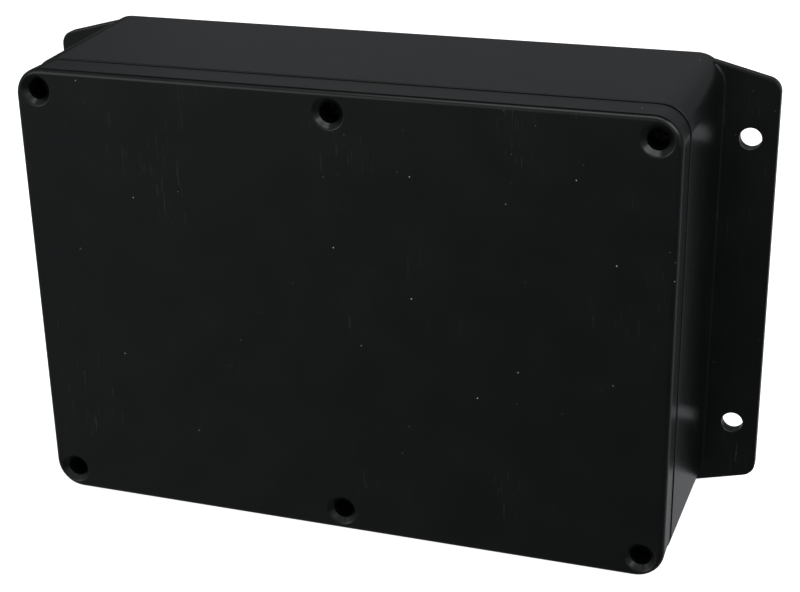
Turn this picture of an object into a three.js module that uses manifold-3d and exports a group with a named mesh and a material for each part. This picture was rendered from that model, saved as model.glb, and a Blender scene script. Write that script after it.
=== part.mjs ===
// Cellular signal booster in a flanged die-cast case.
//
// Everything is drawn on the bench: the case lies on its mounting face, X runs along the long side,
// Y along the short side, and Z from the mounting plane (z = 0) up to the lid. The last step stands
// the whole booster on its long side: bench Y becomes up, and the lid then faces -Y.
// Lengths are millimetres. Touching pieces keep `gap` between them, and the lid keeps `seam`.

import * as THREE from 'three';
import { mergeVertices } from 'three/addons/utils/BufferGeometryUtils.js';
import Module from 'manifold-3d';

const wasm = await Module();
wasm.setup();

// ---------------------------------------------------------------- driving dimensions

const gap = 0.3;
const seam = 0.12;

// case
const caseDepth = 55.4;
const rimHeight = 45.3;
const backHalf = { x: 87.8, y: 61.85 };
const rimHalf = { x: 86.0, y: 60.95 };
const faceHalf = { x: 85.75, y: 60.65 };
const cornerRadius = 7.5;
const wallThickness = 3.0;
const floorThickness = 3.2;
const lidPlate = 3.4;
const lidEdgeRadius = 1.4;
const seamEdgeRadius = 0.25;
const backEdgeRadius = 0.5;
const lidBottom = rimHeight + seam;
const cornerSteps = 6;

// mounting flanges
const flangeReach = 102.1;
const flangeRootHalf = 59.7;
const flangeTipHalf = 56.0;
const flangeThickness = 3.5;
const flangeCorner = 4.0;
const flangeEdge = 0.45;
const flangeFillet = 0.7;
const flangeHole = { x: 95.2, y: 40.75, radius: 2.9, edge: 0.1 };

// lid screws
const lidScrewX = 79.8;
const lidScrewY = 54.9;
const bossRadius = 5.4;
const lidBossRadius = 5.0;
const pocketMouthRadius = 4.05;
const pocketLip = 0.3;
const pocketRadius = 2.75;
const pocketConeDepth = 1.3;
const pocketDepth = 8.6;
const screwRadius = 1.5;
const screwClearance = 1.8;
const screwHead = { radius: 2.45, height: 1.7 };
const screwLength = 12;

// lid rim: gasket groove and locating lip
const grooveInset = 1.0;
const grooveWidth = 1.6;
const grooveDepth = 1.6;
const lidWall = 5.0;
const lipThickness = 1.6;
const lipDepth = 2.3;
const lipClearance = 0.4;

// circuit board
const boardHalf = { x: 74, y: 48 };
const boardBottom = 11.0;
const boardThickness = 1.6;
const boardTop = boardBottom + boardThickness;
const boardScrew = { x: 69, y: 43 };
const pillarRadius = 3.6;
const seat = boardTop + gap;

// connectors in the left wall, all at one height over the mounting plane
const portHeight = 26;
const outdoorPortY = 24;
const indoorPortY = 4;
const statusLightY = -10;
const powerPortY = -26;
const wallOuterX = -86.5;
const wallInnerX = -(rimHalf.x - wallThickness);

// ---------------------------------------------------------------- materials

function finish(color, roughness, metalness, extra = {}) {
  return new THREE.MeshStandardMaterial({ color, roughness, metalness, ...extra });
}

const finishes = {
  casePaint: () => finish(0x1b1c1d, 0.42, 0.3),
  blackSteel: () => finish(0x141414, 0.5, 0.8),
  rubber: () => finish(0x101010, 0.9, 0.0),
  gold: () => finish(0xc9a24a, 0.3, 1.0),
  nickel: () => finish(0xb9b6ae, 0.25, 1.0),
  ptfe: () => finish(0xeceae4, 0.5, 0.0),
  blackPlastic: () => finish(0x19191a, 0.55, 0.0),
  boardGreen: () => finish(0x1f5a38, 0.45, 0.0),
  tinplate: () => finish(0xb4b6b8, 0.35, 0.9),
  milledAluminium: () => finish(0xc3c5c8, 0.4, 0.9),
  thermalPad: () => finish(0x7d8b95, 0.9, 0.0),
  chipBlack: () => finish(0x17181a, 0.6, 0.0),
  capacitorSleeve: () => finish(0x23262f, 0.45, 0.0),
  ferrite: () => finish(0x3a3a3c, 0.7, 0.1),
  coaxJacket: () => finish(0x8a5a34, 0.4, 0.0),
  redJacket: () => finish(0xa51c1c, 0.5, 0.0),
  blackJacket: () => finish(0x161616, 0.5, 0.0),
  clearPlastic: () => finish(0xdfe8ea, 0.1, 0.0, { transparent: true, opacity: 0.5 }),
  creamPlastic: () => finish(0xd9d3bf, 0.55, 0.0),
  lightChip: () => finish(0xf1e9a8, 0.4, 0.0),
};

// ---------------------------------------------------------------- solids and booleans

// Position-only geometry with shared vertices, no collapsed faces, and its faces pointing out.
function weld(geometry) {
  const bare = geometry.clone();
  bare.deleteAttribute('normal');
  bare.deleteAttribute('uv');
  const merged = mergeVertices(bare, 1e-4);
  const source = merged.index.array;
  const place = merged.attributes.position;
  const kept = [];
  const a = new THREE.Vector3();
  const b = new THREE.Vector3();
  const c = new THREE.Vector3();
  let volume = 0;
  for (let i = 0; i < source.length; i += 3) {
    const corner = [source[i], source[i + 1], source[i + 2]];
    if (new Set(corner).size < 3) continue;
    kept.push(...corner);
    a.fromBufferAttribute(place, corner[0]);
    b.fromBufferAttribute(place, corner[1]);
    c.fromBufferAttribute(place, corner[2]);
    volume += a.dot(b.cross(c));
  }
  merged.setIndex(volume < 0 ? kept.reverse() : kept);
  return merged;
}

// Takes a three.js geometry, or a solid that an earlier boolean made.
function solidOf(piece) {
  if (!(piece instanceof THREE.BufferGeometry)) return piece;
  const welded = weld(piece);
  return new wasm.Manifold(new wasm.Mesh({
    numProp: 3,
    vertProperties: new Float32Array(welded.attributes.position.array),
    triVerts: new Uint32Array(welded.index.array),
  }));
}

function geometryOf(piece) {
  if (piece instanceof THREE.BufferGeometry) return weld(piece);
  const mesh = piece.getMesh();
  const geometry = new THREE.BufferGeometry();
  geometry.setAttribute('position', new THREE.BufferAttribute(mesh.vertProperties, mesh.numProp));
  geometry.setIndex(new THREE.BufferAttribute(mesh.triVerts, 1));
  return geometry;
}

// One solid: `body` with every `added` piece joined on and every `removed` piece cut away.
function shape(body, added = [], removed = []) {
  let solid = solidOf(body);
  for (const piece of added) solid = solid.add(solidOf(piece));
  for (const piece of removed) solid = solid.subtract(solidOf(piece));
  return solid;
}

// ---------------------------------------------------------------- primitive shapes

function roundedRect(halfX, halfY, radius) {
  const outline = new THREE.Shape();
  outline.absarc(halfX - radius, halfY - radius, radius, 0, Math.PI / 2);
  outline.absarc(-halfX + radius, halfY - radius, radius, Math.PI / 2, Math.PI);
  outline.absarc(-halfX + radius, -halfY + radius, radius, Math.PI, Math.PI * 1.5);
  outline.absarc(halfX - radius, -halfY + radius, radius, Math.PI * 1.5, Math.PI * 2);
  outline.closePath();
  return outline;
}

function slab(outline, low, high, steps = cornerSteps) {
  const geometry = new THREE.ExtrudeGeometry(outline, {
    depth: high - low,
    bevelEnabled: false,
    curveSegments: steps,
  });
  return geometry.translate(0, 0, low);
}

function ring(outerHalf, outerRadius, innerHalf, innerRadius, low, high, steps = cornerSteps) {
  const outline = roundedRect(outerHalf.x, outerHalf.y, outerRadius);
  outline.holes.push(roundedRect(innerHalf.x, innerHalf.y, innerRadius));
  return slab(outline, low, high, steps);
}

function block(x0, x1, y0, y1, z0, z1) {
  const geometry = new THREE.BoxGeometry(x1 - x0, y1 - y0, z1 - z0);
  return geometry.translate((x0 + x1) / 2, (y0 + y1) / 2, (z0 + z1) / 2);
}

function post(radius, x, y, low, high, sides = 24) {
  const geometry = new THREE.CylinderGeometry(radius, radius, high - low, sides);
  return geometry.rotateX(Math.PI / 2).translate(x, y, (low + high) / 2);
}

// A round bar or a hexagon along X, centred on (y, z).
function bar(radius, x0, x1, y, z, sides = 24) {
  const geometry = new THREE.CylinderGeometry(radius, radius, x1 - x0, sides);
  return geometry.rotateZ(Math.PI / 2).translate((x0 + x1) / 2, y, z);
}

// Turned profile of [radius, height] points about the Z axis.
function turned(profile, steps = 16) {
  const points = profile.map(([radius, height]) => new THREE.Vector2(radius, height));
  return new THREE.LatheGeometry(points, steps).rotateX(Math.PI / 2);
}

// Turned profile of [radius, reach] points, where reach runs out of the left wall along -X.
function turnedPort(profile, y, steps = 20) {
  return turned(profile, steps).rotateY(-Math.PI / 2).translate(0, y, portHeight);
}

// A tube with flat ends along a smooth line through `points`. An arc takes two sides for each
// curve segment.
function tube(points, radius, sides, steps) {
  const section = new THREE.Shape();
  section.absarc(0, 0, radius, 0, Math.PI * 2);
  const path = new THREE.CatmullRomCurve3(points.map((p) => new THREE.Vector3(...p)), false, 'centripetal');
  return new THREE.ExtrudeGeometry(section, {
    extrudePath: path,
    steps,
    curveSegments: sides / 2,
    bevelEnabled: false,
  });
}

// A solid through rounded rectangles at rising heights. Each level is { z, half, radius }.
function loft(levels, steps = cornerSteps * 2) {
  const points = [];
  const count = 4 * (steps + 1);
  for (const { z, half, radius } of levels) {
    for (let i = 0; i < count; i += 1) {
      const quarter = Math.floor(i / (steps + 1));
      const turn = (quarter + (i % (steps + 1)) / steps) * (Math.PI / 2);
      const [sideX, sideY] = fourCorners[quarter];
      points.push(
        sideX * (half.x - radius) + radius * Math.cos(turn),
        sideY * (half.y - radius) + radius * Math.sin(turn),
        z,
      );
    }
  }
  const faces = [];
  const last = (levels.length - 1) * count;
  for (let i = 0; i < count; i += 1) {
    const next = (i + 1) % count;
    for (let low = 0; low < last; low += count) {
      faces.push(low + i, low + next, low + count + next);
      faces.push(low + i, low + count + next, low + count + i);
    }
    if (i > 0 && i < count - 1) {
      faces.push(0, i + 1, i);
      faces.push(last, last + i, last + i + 1);
    }
  }
  const geometry = new THREE.BufferGeometry();
  geometry.setAttribute('position', new THREE.Float32BufferAttribute(points, 3));
  geometry.setIndex(faces);
  return geometry;
}

// Levels of a quarter-round edge, from its inset face at `z` to its full outline, or the reverse.
function roundedEdge(z, half, radius, edge, rising, steps) {
  const levels = [];
  for (let i = 0; i <= steps; i += 1) {
    const turn = (i / steps) * (Math.PI / 2);
    const shrink = edge * (1 - Math.sin(turn));
    const away = edge * (1 - Math.cos(turn));
    levels.push({ z: z + rising * away, half: inset(half, shrink), radius: radius - shrink });
  }
  return rising > 0 ? levels : levels.reverse();
}

function inset(half, amount) {
  return { x: half.x - amount, y: half.y - amount };
}

const lidScrewPlaces = [-1, 0, 1].flatMap((side) => [
  [side * lidScrewX, lidScrewY],
  [side * lidScrewX, -lidScrewY],
]);
const fourCorners = [[1, 1], [-1, 1], [-1, -1], [1, -1]];

// ---------------------------------------------------------------- booster

const bench = new THREE.Group();

function addPart(name, piece, material, x = 0, y = 0) {
  const mesh = new THREE.Mesh(geometryOf(piece), material());
  mesh.name = name;
  mesh.position.set(x, y, 0);
  bench.add(mesh);
}

// ---- case

// Outline of the right flange, a trapezoid with round outer corners, drawn `shrink` inside itself.
function flangeOutline(shrink) {
  const rootX = backHalf.x - wallThickness;
  const slope = (flangeRootHalf - flangeTipHalf) / (flangeReach - backHalf.x);
  const edgeAngle = Math.atan(slope);
  const cornerX = flangeReach - flangeCorner - shrink;
  const cornerY = flangeTipHalf - shrink + slope * flangeCorner - flangeCorner / Math.cos(edgeAngle);
  const rootY = flangeRootHalf - shrink + slope * wallThickness;
  const outline = new THREE.Shape();
  outline.absarc(cornerX, -cornerY, flangeCorner, -Math.PI / 2 + edgeAngle, 0);
  outline.absarc(cornerX, cornerY, flangeCorner, 0, Math.PI / 2 - edgeAngle);
  outline.lineTo(rootX, rootY);
  outline.lineTo(rootX, -rootY);
  outline.closePath();
  return outline;
}

function flangePlate() {
  const plate = new THREE.ExtrudeGeometry(flangeOutline(0), {
    depth: flangeThickness - 2 * flangeEdge,
    bevelThickness: flangeEdge,
    bevelSize: flangeEdge,
    bevelOffset: -flangeEdge,
    bevelSegments: 2,
    curveSegments: 12,
  });
  return plate.translate(0, 0, flangeEdge);
}

// The hollow fillet between the end wall and the flange, kept to the flange's own outline.
function flangeFilletSkirt() {
  const steps = 4;
  const levels = [];
  for (let i = 0; i <= steps; i += 1) {
    const rise = (i / steps) * flangeFillet;
    const spread = flangeFillet - Math.sqrt(flangeFillet ** 2 - (flangeFillet - rise) ** 2);
    const z = flangeThickness + rise;
    const wall = inset(backHalf, (z / rimHeight) * (backHalf.x - rimHalf.x));
    levels.push({ z, half: inset(wall, -spread), radius: cornerRadius + spread });
  }
  levels.unshift({ ...levels[0], z: flangeThickness - 1 });
  const outline = slab(flangeOutline(flangeEdge), 0, flangeThickness + flangeFillet, 3);
  return solidOf(loft(levels)).intersect(solidOf(outline));
}

// A bolt hole through the flange, with a slight break on both edges.
function boltHole(end) {
  const wide = flangeHole.radius + flangeHole.edge;
  const profile = [
    [0, -1],
    [wide, -1],
    [wide, 0],
    [flangeHole.radius, flangeHole.edge],
    [flangeHole.radius, flangeThickness - flangeHole.edge],
    [wide, flangeThickness],
    [wide, flangeThickness + 1],
    [0, flangeThickness + 1],
  ];
  return turned(profile, 24).translate(flangeHole.x, end * flangeHole.y, 0);
}

function flange() {
  return shape(flangePlate(), [flangeFilletSkirt()], [boltHole(1), boltHole(-1)]);
}

function turnedRound(piece) {
  return geometryOf(piece).rotateZ(Math.PI);
}

function portHoles() {
  const outward = wallOuterX - 5;
  const inward = wallInnerX + 1;
  const holes = [];
  for (const y of [outdoorPortY, indoorPortY]) {
    holes.push(bar(3.5, outward, inward, y, portHeight, 20));
    holes.push(bar(6.2, outward, wallOuterX, y, portHeight, 20));
  }
  holes.push(bar(1.85, outward, inward, statusLightY, portHeight, 12));
  holes.push(bar(4.3, outward, inward, powerPortY, portHeight, 20));
  holes.push(bar(6.6, outward, wallOuterX, powerPortY, portHeight, 20));
  return holes;
}

function baseHousing() {
  const outer = loft([
    ...roundedEdge(0, backHalf, cornerRadius, backEdgeRadius, 1, 3),
    ...roundedEdge(rimHeight, rimHalf, cornerRadius, seamEdgeRadius, -1, 3),
  ]);
  const cavityHalf = inset(rimHalf, wallThickness);
  const cavity = slab(
    roundedRect(cavityHalf.x, cavityHalf.y, cornerRadius - wallThickness),
    floorThickness,
    rimHeight + 1,
  );
  const tub = shape(outer, [], [cavity]);
  const bosses = lidScrewPlaces.map(([x, y]) => post(bossRadius, x, y, 1, rimHeight, 20));
  const pillars = fourCorners.map(([sx, sy]) =>
    post(pillarRadius, sx * boardScrew.x, sy * boardScrew.y, 1, boardBottom - gap, 16));
  const bossHoles = lidScrewPlaces.map(([x, y]) =>
    post(screwClearance, x, y, rimHeight - 11.5, rimHeight + 1, 14));
  const pillarHoles = fourCorners.map(([sx, sy]) =>
    post(1.6, sx * boardScrew.x, sy * boardScrew.y, 4.6, boardBottom, 12));
  return shape(
    tub,
    [flange(), turnedRound(flange()), ...bosses, ...pillars],
    [...bossHoles, ...pillarHoles, ...portHoles()],
  );
}

// The pocket one screw drops into: a rounded mouth, a cone, a bore and a clearance hole.
function screwPocket(x, y) {
  const mouth = caseDepth;
  const cone = mouth - pocketConeDepth;
  const ledge = mouth - pocketDepth;
  const profile = [
    [0, lidBottom - 1],
    [screwClearance, lidBottom - 1],
    [screwClearance, ledge],
    [pocketRadius, ledge],
    [pocketRadius, cone],
    [pocketMouthRadius - pocketLip, mouth - pocketLip * 1.2],
    [pocketMouthRadius, mouth - pocketLip * 0.4],
    [pocketMouthRadius + pocketLip, mouth],
    [pocketMouthRadius + pocketLip, mouth + 1],
    [0, mouth + 1],
  ];
  return turned(profile, 32).translate(x, y, 0);
}

function lidBlank() {
  return loft([
    ...roundedEdge(lidBottom, faceHalf, cornerRadius, seamEdgeRadius, 1, 3),
    ...roundedEdge(caseDepth, faceHalf, cornerRadius, lidEdgeRadius, -1, 6),
  ]);
}

function lid() {
  const pocketHalf = inset(faceHalf, lidWall);
  const hollow = slab(
    roundedRect(pocketHalf.x, pocketHalf.y, cornerRadius - lidWall),
    lidBottom - 1,
    caseDepth - lidPlate,
  );
  const groove = ring(
    inset(faceHalf, grooveInset),
    cornerRadius - grooveInset,
    inset(faceHalf, grooveInset + grooveWidth),
    cornerRadius - grooveInset - grooveWidth,
    lidBottom - 1,
    lidBottom + grooveDepth,
  );
  const lipHalf = inset(rimHalf, wallThickness + lipClearance);
  const lip = shape(
    ring(
      lipHalf,
      cornerRadius - wallThickness - lipClearance,
      inset(lipHalf, lipThickness),
      cornerRadius - wallThickness - lipClearance - lipThickness,
      lidBottom - lipDepth,
      lidBottom + 2,
    ),
    [],
    lidScrewPlaces.map(([x, y]) => post(bossRadius + 0.6, x, y, 0, lidBottom, 16)),
  );
  const bosses = lidScrewPlaces.map(([x, y]) =>
    post(lidBossRadius, x, y, lidBottom, caseDepth - lidPlate + 0.5, 20));
  const shell = shape(lidBlank(), [], [hollow]);
  const pockets = lidScrewPlaces.map(([x, y]) => screwPocket(x, y));
  return shape(shell, [lip, ...bosses], [groove, ...pockets]);
}

function lidGasket() {
  const outer = inset(faceHalf, grooveInset + 0.15);
  const width = grooveWidth - 0.3;
  return ring(
    outer,
    cornerRadius - grooveInset - 0.15,
    inset(outer, width),
    cornerRadius - grooveInset - 0.15 - width,
    lidBottom + 0.05,
    lidBottom + grooveDepth - gap,
  );
}

// Pan-head screw with a cross recess, its head's underside at `height`.
function crossHeadScrew(height, head, radius, length) {
  const round = head.height * 0.35;
  const top = height + head.height;
  const tip = height - length;
  const body = turned([
    [0, tip],
    [radius * 0.6, tip],
    [radius, tip + 0.8],
    [radius, height],
    [head.radius, height],
    [head.radius, top - round],
    [head.radius * 0.86, top - round * 0.25],
    [head.radius * 0.6, top],
    [0, top],
  ], 14);
  const reach = head.radius * 0.62;
  const blade = head.radius * 0.14;
  const recessFloor = height + head.height * 0.35;
  const recess = [
    block(-reach, reach, -blade, blade, recessFloor, top + 1),
    block(-blade, blade, -reach, reach, recessFloor, top + 1),
  ];
  return shape(body, [], recess);
}

function addCase() {
  addPart('base_housing', baseHousing(), finishes.casePaint);
  addPart('lid', lid(), finishes.casePaint);
  addPart('lid_gasket', lidGasket(), finishes.rubber);
  const headSeat = caseDepth - pocketDepth + gap;
  const screw = crossHeadScrew(headSeat, screwHead, screwRadius, screwLength);
  lidScrewPlaces.forEach(([x, y], i) => {
    addPart(`lid_screw_${i + 1}`, screw, finishes.blackSteel, x, y);
  });
}

// ---- antenna jacks: a bulkhead jack from inside the wall, its nut and lock washer outside

const jack = {
  threadRadius: 3.17,
  boreRadius: 2.4,
  flangeRadius: 5.0,
  tailRadius: 2.9,
  tip: 98.6,
  flangeOuter: 81.4,
  flangeInner: 79.2,
  tail: 75.0,
};

function jackBody(y) {
  return turnedPort([
    [1.1, jack.tail],
    [jack.tailRadius, jack.tail],
    [jack.tailRadius, jack.flangeInner],
    [jack.flangeRadius, jack.flangeInner],
    [jack.flangeRadius, jack.flangeOuter],
    [jack.threadRadius, jack.flangeOuter],
    [jack.threadRadius, jack.tip - 0.4],
    [jack.threadRadius - 0.35, jack.tip],
    [jack.boreRadius, jack.tip],
    [jack.boreRadius, jack.flangeInner],
    [1.1, jack.flangeInner],
    [1.1, jack.tail],
  ], y);
}

function jackInsulator(y) {
  const radius = jack.boreRadius - gap;
  return turnedPort([
    [1.05, jack.flangeInner + gap],
    [radius, jack.flangeInner + gap],
    [radius, jack.tip - 0.5],
    [1.05, jack.tip - 0.5],
    [1.05, jack.flangeInner + gap],
  ], y);
}

function jackContact(y) {
  return turnedPort([
    [0, jack.tail + 1],
    [0.75, jack.tail + 1],
    [0.75, jack.tip - 0.8],
    [0.4, jack.tip - 0.8],
    [0.4, jack.tip - 4],
    [0, jack.tip - 4],
  ], y, 12);
}

function portWasher(inner, outer, from, thickness, y) {
  return turnedPort([
    [inner, from],
    [outer, from],
    [outer, from + thickness],
    [inner, from + thickness],
    [inner, from],
  ], y);
}

// Hexagon nut on a port, its inner face `from` millimetres out along -X.
function portNut(bore, acrossFlats, from, thickness, y) {
  const cornerReach = acrossFlats / Math.sqrt(3);
  const hexagon = bar(cornerReach, -from - thickness, -from, y, portHeight, 6);
  const hole = bar(bore, -from - thickness - 1, -from + 1, y, portHeight, 16);
  return shape(hexagon, [], [hole]);
}

function jackSeal(y) {
  const minor = 0.5;
  const sides = 6;
  const profile = [];
  for (let i = 0; i <= sides; i += 1) {
    const turn = (i / sides) * Math.PI * 2;
    profile.push([4.1 + minor * Math.cos(turn), -wallInnerX - gap - minor + minor * Math.sin(turn)]);
  }
  return turnedPort(profile, y);
}

function addAntennaJack(side, y) {
  const spotFace = -wallOuterX + gap;
  addPart(`${side}_jack_body`, jackBody(y), finishes.gold);
  addPart(`${side}_jack_insulator`, jackInsulator(y), finishes.ptfe);
  addPart(`${side}_jack_contact`, jackContact(y), finishes.gold);
  addPart(`${side}_jack_washer`, portWasher(3.5, 5.0, spotFace, 0.6, y), finishes.nickel);
  addPart(`${side}_jack_nut`, portNut(3.5, 8, spotFace + 0.9, 2.2, y), finishes.gold);
  addPart(`${side}_jack_seal`, jackSeal(y), finishes.rubber);
}

// ---- power jack and status light

function addPowerJack() {
  const flange = -wallOuterX + gap;
  const body = turnedPort([
    [0, 70.5],
    [4.0, 70.5],
    [4.0, flange],
    [5.5, flange],
    [5.5, flange + 1.4],
    [5.1, flange + 1.8],
    [2.8, flange + 1.8],
    [2.8, 79.0],
    [0, 79.0],
  ], powerPortY);
  const pin = turnedPort([
    [0, 79.3],
    [1.05, 79.3],
    [1.05, flange + 0.3],
    [0.7, flange + 0.8],
    [0, flange + 0.8],
  ], powerPortY, 16);
  const nutThickness = 2.2;
  const nut = portNut(4.3, 11, -wallInnerX - gap - nutThickness, nutThickness, powerPortY);
  addPart('power_jack_body', body, finishes.blackPlastic);
  addPart('power_jack_pin', pin, finishes.nickel);
  addPart('power_jack_nut', nut, finishes.nickel);
}

const statusChip = { x: -70, height: 1.1 };

function addStatusLight() {
  const bend = 9;
  const turnX = statusChip.x - bend;
  const points = [[wallOuterX - 0.9, statusLightY, portHeight], [turnX, statusLightY, portHeight]];
  for (let i = 1; i <= 4; i += 1) {
    const turn = (i / 4) * (Math.PI / 2);
    points.push([
      turnX + bend * Math.sin(turn),
      statusLightY,
      portHeight - bend * (1 - Math.cos(turn)),
    ]);
  }
  points.push([statusChip.x, statusLightY, seat + statusChip.height + gap]);
  addPart('status_light_pipe', tube(points, 1.5, 8, 14), finishes.clearPlastic);
  const chip = block(
    statusChip.x - 1.6,
    statusChip.x + 1.6,
    statusLightY - 1.4,
    statusLightY + 1.4,
    seat,
    seat + statusChip.height,
  );
  addPart('status_light_chip', chip, finishes.lightChip);
}

// ---- circuit board and what cools it

function addBoard() {
  const board = slab(roundedRect(boardHalf.x, boardHalf.y, 2), boardBottom, boardTop, 2);
  const holes = fourCorners.map(([sx, sy]) =>
    post(1.8, sx * boardScrew.x, sy * boardScrew.y, boardBottom - 1, boardTop + 1, 12));
  addPart('main_board', shape(board, [], holes), finishes.boardGreen);
  const screw = crossHeadScrew(seat, { radius: 2.7, height: 1.9 }, 1.3, 7);
  fourCorners.forEach(([sx, sy], i) => {
    addPart(`board_screw_${i + 1}`, screw, finishes.nickel, sx * boardScrew.x, sy * boardScrew.y);
  });
  const padTop = boardBottom - gap;
  const padBottom = padTop - 1.0;
  addPart('heat_spreader', block(24, 60, -38, 38, floorThickness + gap, padBottom - gap), finishes.milledAluminium);
  addPart('thermal_pad', block(25, 59, -37, 37, padBottom, padTop), finishes.thermalPad);
}

// ---- radio parts on the board

function addDuplexer(side, y) {
  const centreX = -22;
  const half = { x: 28, y: 15 };
  const bodyTop = seat + 20;
  const body = slab(roundedRect(half.x, half.y, 1.5), seat, bodyTop, 2);
  const cavities = [-18, 0, 18].flatMap((x) =>
    [-7, 7].map((row) => post(5.2, x, row, seat + 2.5, bodyTop + 1, 12)));
  const plate = slab(roundedRect(half.x, half.y, 1.5), bodyTop + gap, bodyTop + gap + 2, 2);
  addPart(`${side}_duplexer_body`, shape(body, [], cavities), finishes.milledAluminium, centreX, y);
  addPart(`${side}_duplexer_cover`, plate, finishes.milledAluminium, centreX, y);
}

const shieldHalf = { x: 22, y: 18 };
const shieldX = 42;

function addShield(link, y) {
  const frameTop = seat + 4.5;
  const frame = ring(inset(shieldHalf, 0.8), 0.9, inset(shieldHalf, 1.4), 0.4, seat, frameTop, 1);
  const can = slab(roundedRect(shieldHalf.x, shieldHalf.y, 1.4), seat + 0.8, frameTop + gap + 0.4, 2);
  const hollowHalf = inset(shieldHalf, 0.5);
  const hollow = slab(roundedRect(hollowHalf.x, hollowHalf.y, 0.9), seat, frameTop + gap, 2);
  addPart(`${link}_shield_frame`, frame, finishes.tinplate, shieldX, y);
  addPart(`${link}_shield_cover`, shape(can, [], [hollow]), finishes.tinplate, shieldX, y);
}

function chip(halfX, halfY, height) {
  return slab(roundedRect(halfX, halfY, 0.4), seat, seat + height, 1);
}

function addAmplifiers(link, y) {
  addPart(`${link}_power_amplifier`, chip(5, 5, 1.6), finishes.chipBlack, shieldX + 8, y);
  addPart(`${link}_low_noise_amplifier`, chip(2.5, 2.5, 1.0), finishes.chipBlack, shieldX - 10, y);
}

// ---- coax leads from the antenna jacks to the board

const coaxRadius = 1.25;
const socketX = -60;

function addCoaxLead(side, y) {
  const socketY = y + 16;
  const plugHeight = seat + 4.2;
  const plugFront = socketY - 5.5;
  const socket = turned([
    [0, seat],
    [2.3, seat],
    [2.3, seat + 1.6],
    [1.5, seat + 1.6],
    [1.5, seat + 2.4],
    [0, seat + 2.4],
  ], 16).translate(socketX, socketY, 0);
  const plug = shape(
    post(2.6, socketX, socketY, seat + 2.7, plugHeight + 1.9, 16),
    [block(socketX - 1.7, socketX + 1.7, plugFront, socketY, plugHeight - 1.2, plugHeight + 1.5)],
  );
  const lead = tube([
    [-jack.tail + gap, y, portHeight],
    [-70, y, portHeight],
    [-64.5, y + 1.2, portHeight - 1.5],
    [-61.2, y + 4.2, portHeight - 5.2],
    [socketX, y + 7.0, plugHeight + 1.2],
    [socketX, plugFront - 1.6, plugHeight],
    [socketX, plugFront - gap, plugHeight],
  ], coaxRadius, 8, 18);
  addPart(`${side}_coax_socket`, socket, finishes.gold);
  addPart(`${side}_coax_plug`, plug, finishes.gold);
  addPart(`${side}_coax_lead`, lead, finishes.coaxJacket);
}

// ---- power parts on the board

function capacitor() {
  const top = seat + 12.5;
  return turned([
    [0, seat],
    [4.7, seat],
    [5.0, seat + 0.4],
    [5.0, seat + 1.6],
    [4.6, seat + 2.0],
    [5.0, seat + 2.4],
    [5.0, top - 0.4],
    [4.6, top],
    [4.1, top],
    [4.0, top - 0.3],
    [0, top - 0.3],
  ]);
}

function addPowerParts() {
  const rowY = -37;
  const headerX = -60;
  const headerTop = seat + 7;
  const header = block(headerX - 4.5, headerX + 4.5, rowY - 3.5, rowY + 3.5, seat, headerTop);
  const plug = block(headerX - 3.8, headerX + 3.8, rowY - 2.6, rowY + 2.6, headerTop + gap, headerTop + 5);
  addPart('power_header', header, finishes.creamPlastic);
  addPart('power_plug', plug, finishes.creamPlastic);
  const poles = [
    ['red_power_lead', -1.5, finishes.redJacket],
    ['black_power_lead', 1.5, finishes.blackJacket],
  ];
  for (const [name, offset, material] of poles) {
    const startY = powerPortY + offset;
    const endX = headerX + offset;
    const lead = tube([
      [-70, startY, portHeight],
      [-68.6, startY, portHeight],
      [-65.5 + offset, startY - 1.2, portHeight + 1.8],
      [endX - 1.6, startY - 4.2, portHeight + 3.8],
      [endX, rowY + 0.6, portHeight + 2.4],
      [endX, rowY, headerTop + 6.4],
      [endX, rowY, headerTop + 5 + gap],
    ], 0.8, 6, 14);
    addPart(name, lead, material);
  }
  addPart('bulk_capacitor_1', capacitor(), finishes.capacitorSleeve, -45, rowY);
  addPart('bulk_capacitor_2', capacitor(), finishes.capacitorSleeve, -32, rowY);
  const inductor = slab(roundedRect(6, 6, 1.5), seat, seat + 5.8, 2);
  addPart('power_inductor', inductor, finishes.ferrite, -16, rowY);
  addPart('voltage_regulator', chip(5, 4.5, 4.4), finishes.chipBlack, -1, rowY);
  addPart('control_chip', chip(5, 5, 1.3), finishes.chipBlack, 12, 0);
}

addCase();
addAntennaJack('outdoor', outdoorPortY);
addAntennaJack('indoor', indoorPortY);
addPowerJack();
addStatusLight();
addBoard();
addDuplexer('outdoor', 29);
addDuplexer('indoor', -5);
for (const [link, y] of [['downlink', 23], ['uplink', -21]]) {
  addShield(link, y);
  addAmplifiers(link, y);
}
addCoaxLead('outdoor', outdoorPortY);
addCoaxLead('indoor', indoorPortY);
addPowerParts();

// Stand the booster on its long side, its lid facing -Y and its mounting plane at y = 0.
const booster = new THREE.Group();
bench.rotation.x = Math.PI / 2;
booster.add(bench);

export default booster;
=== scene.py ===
"""Cellular signal booster in a flanged die-cast case: the looks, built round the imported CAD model.

The case and lid are refined copies of the CAD castings, and every smaller part is a detailed piece
in the place of its CAD node. Shapes are drawn in millimetres on the bench, where the case lies on
its back: X along the case, Y along its short side, Z from the mounting face up to the lid. The
model itself stands on its long side in metres, with its lid facing -Y, and `make_piece` turns
bench millimetres into that frame.
"""

import math
import random

import bmesh
import bpy
from mathutils import Matrix, Vector


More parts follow.
